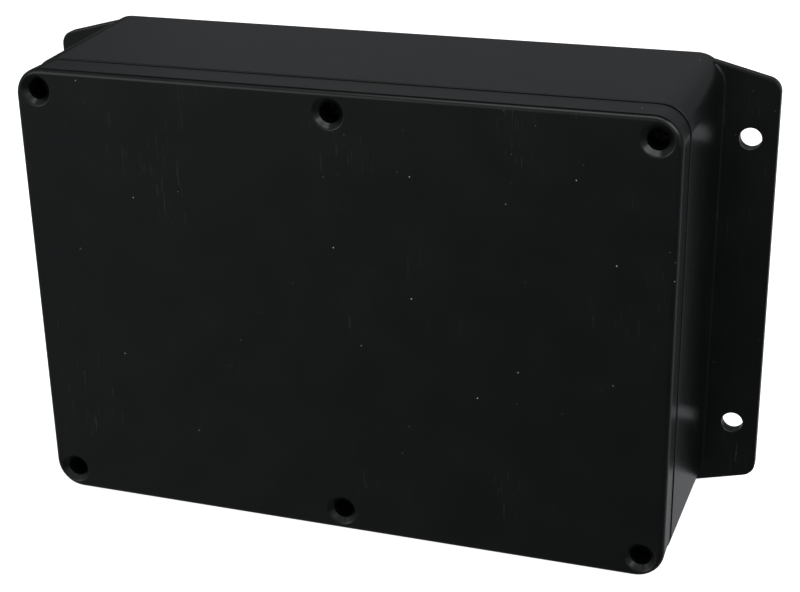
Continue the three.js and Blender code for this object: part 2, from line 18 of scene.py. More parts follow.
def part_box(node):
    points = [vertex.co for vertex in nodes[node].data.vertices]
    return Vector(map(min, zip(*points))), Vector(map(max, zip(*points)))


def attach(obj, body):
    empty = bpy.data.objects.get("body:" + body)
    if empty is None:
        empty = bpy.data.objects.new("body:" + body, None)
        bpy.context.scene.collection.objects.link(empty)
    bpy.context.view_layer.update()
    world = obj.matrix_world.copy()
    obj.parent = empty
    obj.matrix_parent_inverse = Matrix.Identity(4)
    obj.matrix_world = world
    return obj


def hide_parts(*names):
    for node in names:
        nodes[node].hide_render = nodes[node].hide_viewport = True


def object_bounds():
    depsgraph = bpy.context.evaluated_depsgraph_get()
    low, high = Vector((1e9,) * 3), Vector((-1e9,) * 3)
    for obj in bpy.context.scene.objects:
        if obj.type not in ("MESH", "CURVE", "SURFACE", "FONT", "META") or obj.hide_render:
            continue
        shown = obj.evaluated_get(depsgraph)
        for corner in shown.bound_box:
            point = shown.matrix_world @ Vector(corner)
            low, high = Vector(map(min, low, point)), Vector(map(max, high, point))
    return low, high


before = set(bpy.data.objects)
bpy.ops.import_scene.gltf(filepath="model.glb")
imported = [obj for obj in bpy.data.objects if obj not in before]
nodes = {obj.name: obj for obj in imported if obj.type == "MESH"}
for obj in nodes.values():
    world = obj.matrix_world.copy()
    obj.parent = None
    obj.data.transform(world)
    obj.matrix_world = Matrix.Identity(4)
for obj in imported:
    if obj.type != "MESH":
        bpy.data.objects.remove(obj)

cad_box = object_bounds()
MM = 0.001
BENCH_TO_WORLD = Matrix(((1, 0, 0, 0), (0, 0, -1, 0), (0, 1, 0, 0), (0, 0, 0, 1))) @ Matrix.Scale(MM, 4)
WORLD_TO_BENCH = BENCH_TO_WORLD.inverted()

SMOOTH_ANGLE = math.radians(35)
CASTING_ANGLE = math.radians(32)
FLAT_ANGLE = math.radians(0.4)
BEVEL_ANGLE = math.radians(38)
CASTING_WEIGHT = 100
QUARTER_ABOUT_X = Matrix.Rotation(math.radians(90), 3, "X")

# ------------------------------------------------------------------ camera and stage

CAMERA_PLACE = Vector((0.1336, -0.3917, 0.1627))
CAMERA_TURN = (68.65, 0.75, 17.75)
CAMERA_LENS = 70.28
CAMERA_SHIFT = (-0.0305, -0.0678)

FLOOR_SIZE = 12
TABLE_GLOW = 0.95
SKY_BACK = 0.12
SKY_BACK_LEFT = 0.02
SKY_BACK_RIGHT = 0.13
SKY_UPPER_BACK = 0.25
SKY_HIGH = 0.03
SKY_FRONT = 0.42
SKY_LOW_BACK = 0.32
SKY_LOW_LEFT = 0.20
SKY_LOW_RIGHT = 0.03
ROOM_TINT = (0.975, 0.99, 1.035, 1)
BACKDROP_GLOW = 1.1

# Each softbox: its name, place, width and height, and power. All of them face the booster.
SOFTBOXES = (
    ("overhead", (0.05, -0.45, 1.2), (0.9, 0.6), 4),
    ("right_key", (1.05, -0.45, 0.95), (1.0, 1.0), 9),
    ("left_fill", (-0.75, -1.0, 0.35), (0.9, 0.7), 2.4),
)


def make_camera():
    data = bpy.data.cameras.new("camera")
    data.sensor_width = 36
    data.lens = CAMERA_LENS
    data.shift_x, data.shift_y = CAMERA_SHIFT
    data.clip_start = 0.01
    camera = bpy.data.objects.new("camera", data)
    camera.location = CAMERA_PLACE
    camera.rotation_euler = [math.radians(angle) for angle in CAMERA_TURN]
    bpy.context.collection.objects.link(camera)
    bpy.context.scene.camera = camera
    bpy.context.scene.view_settings.view_transform = "Standard"


def make_floor():
    """A plain white table. The sky below the horizon stands for it in glossy reflections."""
    height = cad_box[0][2] - 0.1 * MM
    bpy.ops.mesh.primitive_plane_add(size=FLOOR_SIZE, location=(0, 0, height))
    floor = bpy.context.object
    floor.name = "floor"
    floor.visible_glossy = False
    material = bpy.data.materials.new("white_table")
    material.use_nodes = True
    shader = material.node_tree.nodes["Principled BSDF"]
    shader.inputs["Base Color"].default_value = (0.9, 0.9, 0.9, 1)
    shader.inputs["Roughness"].default_value = 0.9
    shader.inputs["Specular IOR Level"].default_value = 0.1
    shader.inputs["Emission Color"].default_value = (1, 1, 1, 1)
    shader.inputs["Emission Strength"].default_value = TABLE_GLOW
    floor.data.materials.append(material)


def make_softbox(name, place, size, power):
    data = bpy.data.lights.new(name, "AREA")
    data.shape = "RECTANGLE"
    data.size, data.size_y = size
    data.energy = power
    light = bpy.data.objects.new(name, data)
    light.location = place
    light.rotation_euler = (-Vector(place)).to_track_quat("-Z", "Y").to_euler()
    bpy.context.collection.objects.link(light)


def make_sky():
    """A white room, with its own brightness on each side, behind a backdrop that only the camera sees."""
    world = bpy.data.worlds.new("studio")
    bpy.context.scene.world = world
    world.use_nodes = True
    tree = world.node_tree
    place = tree.nodes.new("ShaderNodeTexCoord")
    axes = tree.nodes.new("ShaderNodeSeparateXYZ")
    tree.links.new(place.outputs["Generated"], axes.inputs[0])

    def blend(axis, start, end, low, high):
        ramp = tree.nodes.new("ShaderNodeMapRange")
        ramp.interpolation_type = "SMOOTHSTEP"
        tree.links.new(axes.outputs[axis], ramp.inputs["Value"])
        ramp.inputs["From Min"].default_value = start
        ramp.inputs["From Max"].default_value = end
        for socket, value in (("To Min", low), ("To Max", high)):
            if isinstance(value, float):
                ramp.inputs[socket].default_value = value
            else:
                tree.links.new(value, ramp.inputs[socket])
        return ramp.outputs["Result"]

    below = blend("Y", -0.5, 0.5, blend("X", -0.65, 0.1, SKY_LOW_LEFT, SKY_LOW_RIGHT), SKY_LOW_BACK)
    middle = blend("X", -0.1, 0.3, SKY_BACK, SKY_BACK_RIGHT)
    upper = blend("Z", 0.42, 0.55, SKY_UPPER_BACK, SKY_HIGH)
    behind = blend("Z", 0.27, 0.33, blend("X", -0.57, -0.42, SKY_BACK_LEFT, middle), upper)
    above = blend("Y", -0.5, 0.5, SKY_FRONT, behind)
    background = tree.nodes["Background"]
    background.inputs["Color"].default_value = ROOM_TINT
    tree.links.new(blend("Z", -0.40, 0.10, below, above), background.inputs["Strength"])
    backdrop = tree.nodes.new("ShaderNodeBackground")
    backdrop.inputs["Color"].default_value = (1, 1, 1, 1)
    backdrop.inputs["Strength"].default_value = BACKDROP_GLOW
    sight = tree.nodes.new("ShaderNodeLightPath")
    choice = tree.nodes.new("ShaderNodeMixShader")
    tree.links.new(sight.outputs["Is Camera Ray"], choice.inputs[0])
    tree.links.new(background.outputs[0], choice.inputs[1])
    tree.links.new(backdrop.outputs[0], choice.inputs[2])
    tree.links.new(choice.outputs[0], tree.nodes["World Output"].inputs["Surface"])


def make_lights():
    make_sky()
    for name, place, size, power in SOFTBOXES:
        make_softbox(name, place, size, power)


# ------------------------------------------------------------------ shapes on the bench
# A shape is (points, faces): bench points in millimetres and the point numbers of each face.

def rounded_outline(corners, radius, steps=5):
    """The corners of a polygon, each turned into an arc of the given radius, or of its own."""
    points = []
    radii = radius if isinstance(radius, (list, tuple)) else [radius] * len(corners)
    for i, corner in enumerate(corners):
        corner = Vector(corner)
        before = (Vector(corners[i - 1]) - corner).normalized()
        after = (Vector(corners[(i + 1) % len(corners)]) - corner).normalized()
        half_angle = before.angle(after) / 2
        if radii[i] <= 0 or half_angle > math.radians(88):
            points.append(tuple(corner))
            continue
        away = radii[i] / math.tan(half_angle)
        centre = corner + (before + after).normalized() * (radii[i] / math.sin(half_angle))
        start = corner + before * away - centre
        turn = start.angle_signed(corner + after * away - centre)
        for step in range(steps + 1):
            angle = -turn * step / steps
            spoke = Matrix.Rotation(angle, 2) @ start
            points.append(tuple(centre + spoke))
    return points


def rectangle(half_x, half_y, radius=0.0, x=0.0, y=0.0, steps=5):
    corners = [(x + sx * half_x, y + sy * half_y) for sx, sy in ((1, -1), (1, 1), (-1, 1), (-1, -1))]
    return rounded_outline(corners, radius, steps)


def circle(radius, x=0.0, y=0.0, steps=24, start=0.0):
    angles = [start + math.tau * i / steps for i in range(steps)]
    return [(x + radius * math.cos(angle), y + radius * math.sin(angle)) for angle in angles]


def band(low, high, count):
    """The side faces between two rings of points, given by the number of each ring's first point."""
    faces = []
    for i in range(count):
        following = (i + 1) % count
        faces.append((low + i, low + following, high + following, high + i))
    return faces


def prism(outline, low, high):
    """A straight-sided solid between two heights."""
    count = len(outline)
    points = [(x, y, low) for x, y in outline] + [(x, y, high) for x, y in outline]
    faces = [tuple(reversed(range(count))), tuple(range(count, 2 * count))]
    return points, faces + band(0, count, count)


def block(x0, x1, y0, y1, z0, z1):
    return prism([(x0, y0), (x1, y0), (x1, y1), (x0, y1)], z0, z1)


def plate(outline, holes, low, high):
    """A flat solid with holes right through it."""
    mesh = bmesh.new()
    edges = []
    for loop in [outline, *holes]:
        points = [mesh.verts.new((x, y, low)) for x, y in loop]
        edges += [mesh.edges.new((points[i - 1], points[i])) for i in range(len(points))]
    bmesh.ops.triangle_fill(mesh, use_beauty=True, use_dissolve=False, edges=edges)
    grown = bmesh.ops.extrude_face_region(mesh, geom=mesh.faces[:])["geom"]
    top = [item for item in grown if isinstance(item, bmesh.types.BMVert)]
    bmesh.ops.translate(mesh, verts=top, vec=(0, 0, high - low))
    bmesh.ops.recalc_face_normals(mesh, faces=mesh.faces[:])
    return shape_of(mesh)


def shape_of(mesh):
    mesh.verts.index_update()
    points = [tuple(vert.co) for vert in mesh.verts]
    faces = [tuple(vert.index for vert in face.verts) for face in mesh.faces]
    mesh.free()
    return points, faces


def stack(levels):
    """A solid through outlines with equal point counts, each given as (outline, height)."""
    count = len(levels[0][0])
    points = [(x, y, z) for outline, z in levels for x, y in outline]
    faces = [tuple(reversed(range(count)))]
    for level in range(len(levels) - 1):
        faces += band(level * count, (level + 1) * count, count)
    faces.append(tuple(range((len(levels) - 1) * count, len(levels) * count)))
    return points, faces


def crowned(outline_at, low, high, edge, steps=3):
    """A solid with rounded top and bottom edges. outline_at(inset) draws its outline."""
    levels = []
    for i in range(steps + 1):
        turn = math.pi / 2 * i / steps
        levels.append((outline_at(edge * (1 - math.sin(turn))), low + edge * (1 - math.cos(turn))))
    for i in range(steps, -1, -1):
        turn = math.pi / 2 * i / steps
        levels.append((outline_at(edge * (1 - math.sin(turn))), high - edge * (1 - math.cos(turn))))
    return stack(levels)


def soft_box(x0, x1, y0, y1, z0, z1, edge=0.2, corner=0.0, steps=2):
    """A box with rounded edges, and round upright corners of at least the same radius."""
    middle = ((x0 + x1) / 2, (y0 + y1) / 2)
    half = ((x1 - x0) / 2, (y1 - y0) / 2)
    corner = max(corner, edge * 1.05)

    def outline(inset):
        return rectangle(half[0] - inset, half[1] - inset, corner - inset, *middle, steps=3)

    return crowned(outline, z0, z1, edge, steps)


def lathe(profile, steps=40):
    """A solid turned about Z from (radius, height) points. A closed ring joins its own ends."""
    points = []
    rings = []
    for radius, height in profile:
        if radius < 1e-6:
            rings.append([len(points)] * steps)
            points.append((0, 0, height))
            continue
        rings.append(list(range(len(points), len(points) + steps)))
        points += [(*spoke, height) for spoke in circle(radius, steps=steps)]
    on_axis = profile[0][0] < 1e-6 and profile[-1][0] < 1e-6
    pairs = list(zip(rings, rings[1:]))
    if not on_axis:
        pairs.append((rings[-1], rings[0]))
    faces = []
    for low, high in pairs:
        for i in range(steps):
            following = (i + 1) % steps
            corners = (low[i], low[following], high[following], high[i])
            face = tuple(dict.fromkeys(corners))
            if len(face) > 2:
                faces.append(face)
    return points, faces


def turned(profile, radius=0.15, steps=40, round_steps=2):
    """A lathe solid whose profile corners off the axis are rounded."""
    radii = [0 if reach < 1e-6 else radius for reach, _ in profile]
    return lathe(rounded_outline(profile, radii, round_steps), steps)


def thread(radius, low, high, pitch, depth=None, bore=0.0, steps=30, rows=5):
    """A rod or tube with a helical thread outside, tapering to its root at both ends."""
    depth = depth or pitch * 0.55
    count = max(2, int(round((high - low) / pitch * rows)))
    points = []
    for row in range(count + 1):
        height = low + (high - low) * row / count
        fade = min(1.0, (height - low) / pitch, (high - height) / pitch)
        for i in range(steps):
            phase = ((height - low) / pitch - i / steps) % 1.0
            crest = 1 - abs(2 * phase - 1)
            reach = radius - depth + depth * fade * min(1.0, crest * 1.25)
            angle = math.tau * i / steps
            points.append((reach * math.cos(angle), reach * math.sin(angle), height))
    faces = []
    for row in range(count):
        faces += band(row * steps, (row + 1) * steps, steps)
    last = count * steps
    if bore <= 0:
        faces.append(tuple(reversed(range(steps))))
        faces.append(tuple(range(last, last + steps)))
        return points, faces
    inner = len(points)
    for height in (low, high):
        points += [(*spoke, height) for spoke in circle(bore, steps=steps)]
    for i in range(steps):
        following = (i + 1) % steps
        faces.append((i, inner + i, inner + following, following))
        faces.append((last + i, last + following, inner + steps + following, inner + steps + i))
        faces.append((inner + i, inner + steps + i, inner + steps + following, inner + following))
    return points, faces


def tube(route, radius, sides=16, closed=False, section=None, capped=True):
    """A round or shaped section swept along a route, with no twist."""
    route = [Vector(point) for point in route]
    count = len(route)
    section = section or circle(radius, steps=sides)
    sides = len(section)
    tangents = []
    for i in range(count):
        before = route[i - 1] if closed or i else route[0]
        after = route[(i + 1) % count] if closed or i < count - 1 else route[-1]
        tangents.append((after - before).normalized())
    across = tangents[0].orthogonal().normalized()
    if closed:
        across = Vector((0, 0, 1))
    points = []
    for i in range(count):
        if i and not closed:
            across = tangents[i - 1].rotation_difference(tangents[i]) @ across
        up = tangents[i].cross(across).normalized()
        points += [tuple(route[i] + across * u + up * v) for u, v in section]
    faces = []
    for i in range(count if closed else count - 1):
        faces += band(i * sides, ((i + 1) % count) * sides, sides)
    if capped and not closed:
        faces.append(tuple(reversed(range(sides))))
        faces.append(tuple(range((count - 1) * sides, count * sides)))
    return points, faces


def smooth_route(knots, steps=6):
    """A Catmull-Rom curve through given knots."""
    knots = [Vector(knot) for knot in knots]
    padded = [2 * knots[0] - knots[1], *knots, 2 * knots[-1] - knots[-2]]
    route = []
    for i in range(1, len(padded) - 2):
        a, b, c, d = padded[i - 1:i + 3]
        for step in range(steps):
            t = step / steps
            route.append(0.5 * (2 * b + (c - a) * t + (2 * a - 5 * b + 4 * c - d) * t * t
                                + (3 * b - a - 3 * c + d) * t ** 3))
    return [*route, knots[-1]]


def moved(shape, x=0.0, y=0.0, z=0.0, turn=None):
    """The shape turned by a matrix, if one is given, and then shifted."""
    points, faces = shape
    turn = turn or Matrix.Identity(3)
    shift = Vector((x, y, z))
    return [tuple(turn @ Vector(point) + shift) for point in points], faces


def spun(shape, degrees, x=0.0, y=0.0, z=0.0):
    return moved(shape, x, y, z, Matrix.Rotation(math.radians(degrees), 3, "Z"))


def joined(shapes):
    """Several shapes as one."""
    points = []
    faces = []
    for own_points, own_faces in shapes:
        first = len(points)
        points += own_points
        faces += [tuple(first + i for i in face) for face in own_faces]
    return points, faces


# ------------------------------------------------------------------ pieces

def bench_box(node):
    """A CAD node's lowest and highest corners in bench millimetres."""
    corners = [WORLD_TO_BENCH @ Vector(corner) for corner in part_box(node)]
    low = [min(corner[axis] for corner in corners) for axis in range(3)]
    high = [max(corner[axis] for corner in corners) for axis in range(3)]
    return low, high


def middle_of(node):
    low, high = bench_box(node)
    return [(a + b) / 2 for a, b in zip(low, high)]


def mesh_from(name, shape):
    points, faces = shape
    mesh = bpy.data.meshes.new(name)
    mesh.from_pydata([BENCH_TO_WORLD @ Vector(point) for point in points], [], faces)
    mesh.validate()
    mesh.update()
    return mesh


def shade(mesh, angle=SMOOTH_ANGLE):
    """Shades a mesh smooth, except across the edges that turn by more than the angle."""
    tool = bmesh.new()
    tool.from_mesh(mesh)
    for face in tool.faces:
        face.smooth = True
    for edge in tool.edges:
        edge.smooth = edge.calc_face_angle(math.pi) < angle
    tool.to_mesh(mesh)
    tool.free()


def even_normals(piece, weight=50):
    """Keeps flat faces flat next to rounded edges. A higher weight favours the larger faces."""
    normals = piece.modifiers.new("normals", "WEIGHTED_NORMAL")
    normals.keep_sharp = True
    normals.weight = weight


def outward(mesh):
    tool = bmesh.new()
    tool.from_mesh(mesh)
    bmesh.ops.recalc_face_normals(tool, faces=tool.faces[:])
    tool.to_mesh(mesh)
    tool.free()


def make_piece(name, shapes, finish, body="case", stands_for=(), bevel=0.0):
    """One visible piece from bench shapes, painted, riding on its body, in place of CAD nodes."""
    mesh = mesh_from(name, joined(shapes) if isinstance(shapes, list) else shapes)
    outward(mesh)
    piece = bpy.data.objects.new(name, mesh)
    bpy.context.collection.objects.link(piece)
    mesh.materials.append(FINISHES[finish])
    if bevel:
        edges = piece.modifiers.new("edges", "BEVEL")
        edges.limit_method = "ANGLE"
        edges.angle_limit = BEVEL_ANGLE
        edges.width = bevel * MM
        edges.segments = 2
        edges.harden_normals = True
    shade(mesh)
    even_normals(piece)
    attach(piece, body)
    if stands_for:
        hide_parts(*stands_for)
    return piece


def cut(piece, shapes):
    """Takes shapes out of a piece, for good."""
    cutter_mesh = mesh_from("cutter", joined(shapes))
    outward(cutter_mesh)
    cutter = bpy.data.objects.new("cutter", cutter_mesh)
    bpy.context.collection.objects.link(cutter)
    piece.modifiers.remove(piece.modifiers["normals"])
    boolean = piece.modifiers.new("cut", "BOOLEAN")
    boolean.operation = "DIFFERENCE"
    boolean.solver = "EXACT"
    boolean.use_self = True
    boolean.object = cutter
    bpy.context.view_layer.update()
    result = bpy.data.meshes.new_from_object(piece.evaluated_get(bpy.context.evaluated_depsgraph_get()))
    piece.modifiers.clear()
    piece.data = result
    bpy.data.objects.remove(cutter)
    shade(result)
    even_normals(piece)
    return piece


# ------------------------------------------------------------------ materials

class Finish:
    """A procedural material: one Principled shader fed by noise in the piece's own space."""

    def __init__(self, name, color, roughness, metallic=0.0, **sockets):
        self.material = bpy.data.materials.new(name)
        self.material.use_nodes = True
        self.tree = self.material.node_tree
        self.shader = self.tree.nodes["Principled BSDF"]
        self.color = (*color, 1)
        self.roughness = roughness
        self.set("Base Color", self.color)
        self.set("Roughness", roughness)
        self.set("Metallic", metallic)
        for socket, value in sockets.items():
            self.set(socket.replace("_", " "), value)
        self.place = self.add("ShaderNodeTexCoord").outputs["Object"]
        self.normal = None

    def set(self, socket, value):
        self.feed(self.shader.inputs[socket], value)

    def feed(self, socket, value):
        if isinstance(value, bpy.types.NodeSocket):
            self.tree.links.new(value, socket)
        else:
            socket.default_value = value

    def add(self, kind, inputs=None, **settings):
        made = self.tree.nodes.new(kind)
        for name, value in settings.items():
            setattr(made, name, value)
        for socket, value in (inputs or {}).items():
            self.feed(made.inputs[socket], value)
        return made

    def stretched(self, stretch, turn=(0, 0, 0)):
        mapping = self.add("ShaderNodeMapping", {"Vector": self.place, "Scale": stretch, "Rotation": turn})
        return mapping.outputs["Vector"]

    def noise(self, size, detail=3.0, stretch=None, turn=(0, 0, 0)):
        """Noise whose features are about `size` millimetres across, from 0 to 1."""
        place = self.stretched(stretch, turn) if stretch else self.place
        inputs = {"Vector": place, "Scale": 1 / (size * MM), "Detail": detail}
        return self.add("ShaderNodeTexNoise", inputs).outputs["Fac"]

    def remap(self, value, start, end, low, high):
        inputs = {"Value": value, "From Min": start, "From Max": end, "To Min": low, "To Max": high}
        return self.add("ShaderNodeMapRange", inputs).outputs["Result"]

    def math(self, operation, a, b):
        return self.add("ShaderNodeMath", {0: a, 1: b}, operation=operation).outputs[0]

    def mix(self, factor, a, b):
        made = self.add("ShaderNodeMix", data_type="RGBA")
        colors = [socket for socket in made.inputs if socket.type == "RGBA"]
        self.feed(made.inputs["Factor"], factor)
        self.feed(colors[0], a)
        self.feed(colors[1], b)
        return [socket for socket in made.outputs if socket.type == "RGBA"][0]

    def mottle(self, other, size, low=0.4, high=0.62, detail=3.0, stretch=None):
        """Drifts the base colour towards another one in soft patches."""
        factor = self.remap(self.noise(size, detail, stretch), low, high, 0.0, 1.0)
        self.color = self.mix(factor, self.color, (*other, 1))
        self.set("Base Color", self.color)
        return self

    def vary_gloss(self, spread, size, detail=3.0, stretch=None):
        noise = self.noise(size, detail, stretch)
        low, high = self.roughness - spread, self.roughness + spread
        self.set("Roughness", self.remap(noise, 0.3, 0.7, low, high))
        return self

    def bump(self, height, depth):
        """Raises the surface by up to `depth` millimetres where `height` is 1."""
        inputs = {"Height": height, "Distance": depth * MM, "Strength": 1.0}
        if self.normal:
            inputs["Normal"] = self.normal
        self.normal = self.add("ShaderNodeBump", inputs).outputs["Normal"]
        self.set("Normal", self.normal)
        return self

    def grain(self, size, depth, detail=2.0, stretch=None):
        return self.bump(self.noise(size, detail, stretch), depth)

    def specks(self, spacing, radius, share):
        """1 inside small round specks. A share of the cells, one per `spacing` mm, holds a speck."""
        inputs = {"Vector": self.place, "Scale": 1 / (spacing * MM)}
        cells = self.add("ShaderNodeTexVoronoi", inputs)
        reach = radius / spacing
        inside = self.remap(cells.outputs["Distance"], reach, reach * 0.55, 0.0, 1.0)
        lottery = self.add("ShaderNodeSeparateColor", {0: cells.outputs["Color"]}).outputs[0]
        return self.math("MULTIPLY", inside, self.math("LESS_THAN", lottery, share))

    def hairlines(self, width, length, turn, share):
        """1 on thin straight marks of the given width and length, lying at a turn to the axes."""
        stretch = (1.0, 1.0, width / length)
        streaks = self.noise(width, 1.0, stretch, turn)
        fine = self.remap(streaks, 0.735, 0.76, 0.0, 1.0)
        patches = self.remap(self.noise(28, 2.0), 1 - share, 1.02 - share, 0.0, 1.0)
        return self.math("MULTIPLY", fine, patches)

    def dust(self, factor, color):
        """Lays another colour over the base colour where the factor is 1."""
        self.color = self.mix(factor, self.color, (*color, 1))
        self.set("Base Color", self.color)
        return self


def case_paint():
    """Satin black powder coat: a faint orange peel, dust specks and a few hairline marks."""
    paint = Finish("case_paint", (0.0022, 0.0027, 0.0026), 0.25, Specular_IOR_Level=0.36)
    paint.mottle((0.0029, 0.0035, 0.0034), 14.0)
    paint.vary_gloss(0.012, 2.2, 4.0)
    paint.grain(1.3, 0.0016, 2.0)
    paint.grain(0.2, 0.0006, 2.0)
    paint.dust(paint.specks(3.4, 0.17, 0.10), (0.42, 0.42, 0.40))
    paint.dust(paint.specks(1.9, 0.11, 0.14), (0.14, 0.14, 0.13))
    paint.dust(paint.hairlines(0.10, 9.0, (0.0, 0.7, 0.3), 0.42), (0.036, 0.036, 0.036))
    paint.dust(paint.hairlines(0.09, 6.0, (0.4, -0.9, 0.1), 0.36), (0.034, 0.034, 0.034))
    return paint.material


def plated(name, color, shade_color, roughness):
    metal = Finish(name, color, roughness, 1.0)
    metal.mottle(shade_color, 1.6)
    metal.vary_gloss(0.07, 0.7, 4.0)
    metal.grain(0.25, 0.002)
    return metal.material


def black_steel():
    steel = Finish("black_steel", (0.006, 0.006, 0.007), 0.48, 0.6, Specular_IOR_Level=0.25)
    steel.mottle((0.011, 0.010, 0.010), 0.8)
    steel.vary_gloss(0.08, 0.5)
    steel.grain(0.3, 0.004)
    return steel.material


def brushed(name, color, roughness, across, stretch):
    """Metal with fine parallel tool marks."""
    metal = Finish(name, color, roughness, 1.0)
    metal.mottle(tuple(value * 0.82 for value in color), across, 0.35, 0.65, 2.0, stretch)
    metal.vary_gloss(0.09, across, 3.0, stretch)
    metal.grain(across, 0.004, 2.0, stretch)
    return metal.material


def moulded(name, color, roughness, grain_size=0.35, depth=0.006, **sockets):
    """Moulded plastic with a light spark-eroded texture."""
    plastic = Finish(name, color, roughness, **sockets)
    plastic.mottle(tuple(value * 0.8 for value in color), 3.0)
    plastic.vary_gloss(0.06, 0.6)
    plastic.grain(grain_size, depth)
    return plastic.material


def rubber(name, color, roughness=0.78):
    soft = Finish(name, color, roughness, Specular_IOR_Level=0.35)
    soft.mottle(tuple(value * 1.7 for value in color), 4.0)
    soft.vary_gloss(0.08, 1.0)
    soft.grain(0.12, 0.006)
    soft.dust(soft.specks(1.9, 0.1, 0.2), (0.12, 0.12, 0.12))
    return soft.material


def board_green():
    """Green solder mask: glossy, with the glass weave faintly showing through."""
    mask = Finish("board_green", (0.008, 0.085, 0.032), 0.26, Coat_Weight=0.25, Coat_Roughness=0.12)
    mask.mottle((0.006, 0.060, 0.024), 5.0)
    waves = {"Vector": mask.place, "Scale": 1 / (6.5 * MM)}
    warp = mask.add("ShaderNodeTexWave", waves, bands_direction="X")
    weft = mask.add("ShaderNodeTexWave", waves, bands_direction="Z")
    weave = mask.math("MULTIPLY", warp.outputs["Fac"], weft.outputs["Fac"])
    mask.color = mask.mix(mask.remap(weave, 0.0, 1.0, 0.0, 0.35), mask.color, (0.012, 0.115, 0.045, 1))
    mask.set("Base Color", mask.color)
    mask.vary_gloss(0.06, 1.4)
    mask.bump(weave, 0.004)
    return mask.material


def thermal_pad():
    pad = Finish("thermal_pad", (0.16, 0.24, 0.30), 0.88, Specular_IOR_Level=0.25)
    pad.mottle((0.21, 0.29, 0.35), 0.8)
    pad.vary_gloss(0.05, 1.0)
    pad.grain(0.3, 0.02, 4.0)
    return pad.material


def clear_plastic():
    clear = Finish("clear_plastic", (0.86, 0.92, 0.90), 0.14, Transmission_Weight=0.85, IOR=1.49)
    clear.vary_gloss(0.05, 1.5)
    clear.grain(0.8, 0.002)
    return clear.material


def phosphor():
    glow = Finish("light_chip", (0.82, 0.66, 0.12), 0.35, Subsurface_Weight=0.15)
    glow.set("Subsurface Scale", 0.3 * MM)
    glow.mottle((0.9, 0.8, 0.3), 0.5)
    glow.vary_gloss(0.05, 0.3)
    glow.grain(0.15, 0.004)
    return glow.material


def solder():
    alloy = Finish("solder", (0.62, 0.62, 0.60), 0.28, 1.0)
    alloy.mottle((0.45, 0.45, 0.44), 0.5)
    alloy.vary_gloss(0.1, 0.3)
    alloy.grain(0.25, 0.01)
    return alloy.material


def copper_wire():
    wire = Finish("copper_wire", (0.62, 0.22, 0.08), 0.25, 1.0, Coat_Weight=0.4)
    wire.mottle((0.5, 0.16, 0.05), 0.9)
    wire.vary_gloss(0.06, 0.5)
    wire.grain(0.3, 0.003)
    return wire.material


FINISHES = {
    "case_paint": case_paint(),
    "black_steel": black_steel(),
    "seal_rubber": rubber("seal_rubber", (0.014, 0.014, 0.014)),
    "gold_plate": plated("gold_plate", (0.78, 0.53, 0.20), (0.66, 0.43, 0.15), 0.24),
    "nickel_plate": plated("nickel_plate", (0.62, 0.60, 0.56), (0.50, 0.48, 0.45), 0.24),
    "ptfe": moulded("ptfe", (0.82, 0.81, 0.77), 0.42, 0.5, 0.003, Subsurface_Weight=0.1),
    "black_plastic": moulded("black_plastic", (0.014, 0.014, 0.015), 0.46),
    "board_green": board_green(),
    "tinplate": brushed("tinplate", (0.62, 0.62, 0.62), 0.30, 0.35, (1.0, 1.0, 0.04)),
    "milled_aluminium": brushed("milled_aluminium", (0.68, 0.69, 0.70), 0.34, 0.5, (0.05, 1.0, 1.0)),
    "thermal_pad": thermal_pad(),
    "chip_black": moulded("chip_black", (0.012, 0.012, 0.013), 0.5, 0.12, 0.004),
    "capacitor_sleeve": moulded("capacitor_sleeve", (0.010, 0.012, 0.026), 0.26, 1.4, 0.01),
    "ferrite": moulded("ferrite", (0.035, 0.035, 0.038), 0.62, 0.2, 0.012),
    "coax_jacket": moulded("coax_jacket", (0.23, 0.085, 0.028), 0.28, 1.2, 0.01, Coat_Weight=0.2),
    "red_jacket": moulded("red_jacket", (0.42, 0.012, 0.010), 0.36, 0.9, 0.008),
    "black_jacket": moulded("black_jacket", (0.012, 0.012, 0.012), 0.38, 0.9, 0.008),
    "clear_plastic": clear_plastic(),
    "cream_plastic": moulded("cream_plastic", (0.68, 0.62, 0.46), 0.42, 0.4, 0.006),
    "light_chip": phosphor(),
    "solder": solder(),
    "copper_wire": copper_wire(),
    "ceramic_tan": moulded("ceramic_tan", (0.32, 0.20, 0.11), 0.5, 0.1, 0.004),
    "raised_track": moulded("raised_track", (0.012, 0.125, 0.048), 0.24, 1.0, 0.002, Coat_Weight=0.25),
}


# ------------------------------------------------------------------ case, lid and screws

SEAT = bench_box("main_board")[1][2]
FASTENER_STEPS = 32


def refined_casting(name, node, body):
    """A copy of a CAD casting with its flat faces joined up and its curved ones shaded smooth."""
    source = nodes[node]
    mesh = source.data.copy()
    mesh.name = name
    mesh.transform(source.matrix_world)
    tool = bmesh.new()
    tool.from_mesh(mesh)
    bmesh.ops.remove_doubles(tool, verts=tool.verts[:], dist=0.002 * MM)
    bmesh.ops.dissolve_limit(tool, angle_limit=FLAT_ANGLE, verts=tool.verts[:], edges=tool.edges[:])
    tool.to_mesh(mesh)
    tool.free()
    mesh.materials.clear()
    mesh.materials.append(FINISHES["case_paint"])
    piece = bpy.data.objects.new(name, mesh)
    bpy.context.collection.objects.link(piece)
    shade(mesh, CASTING_ANGLE)
    even_normals(piece, CASTING_WEIGHT)
    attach(piece, body)
    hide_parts(node)
    return piece


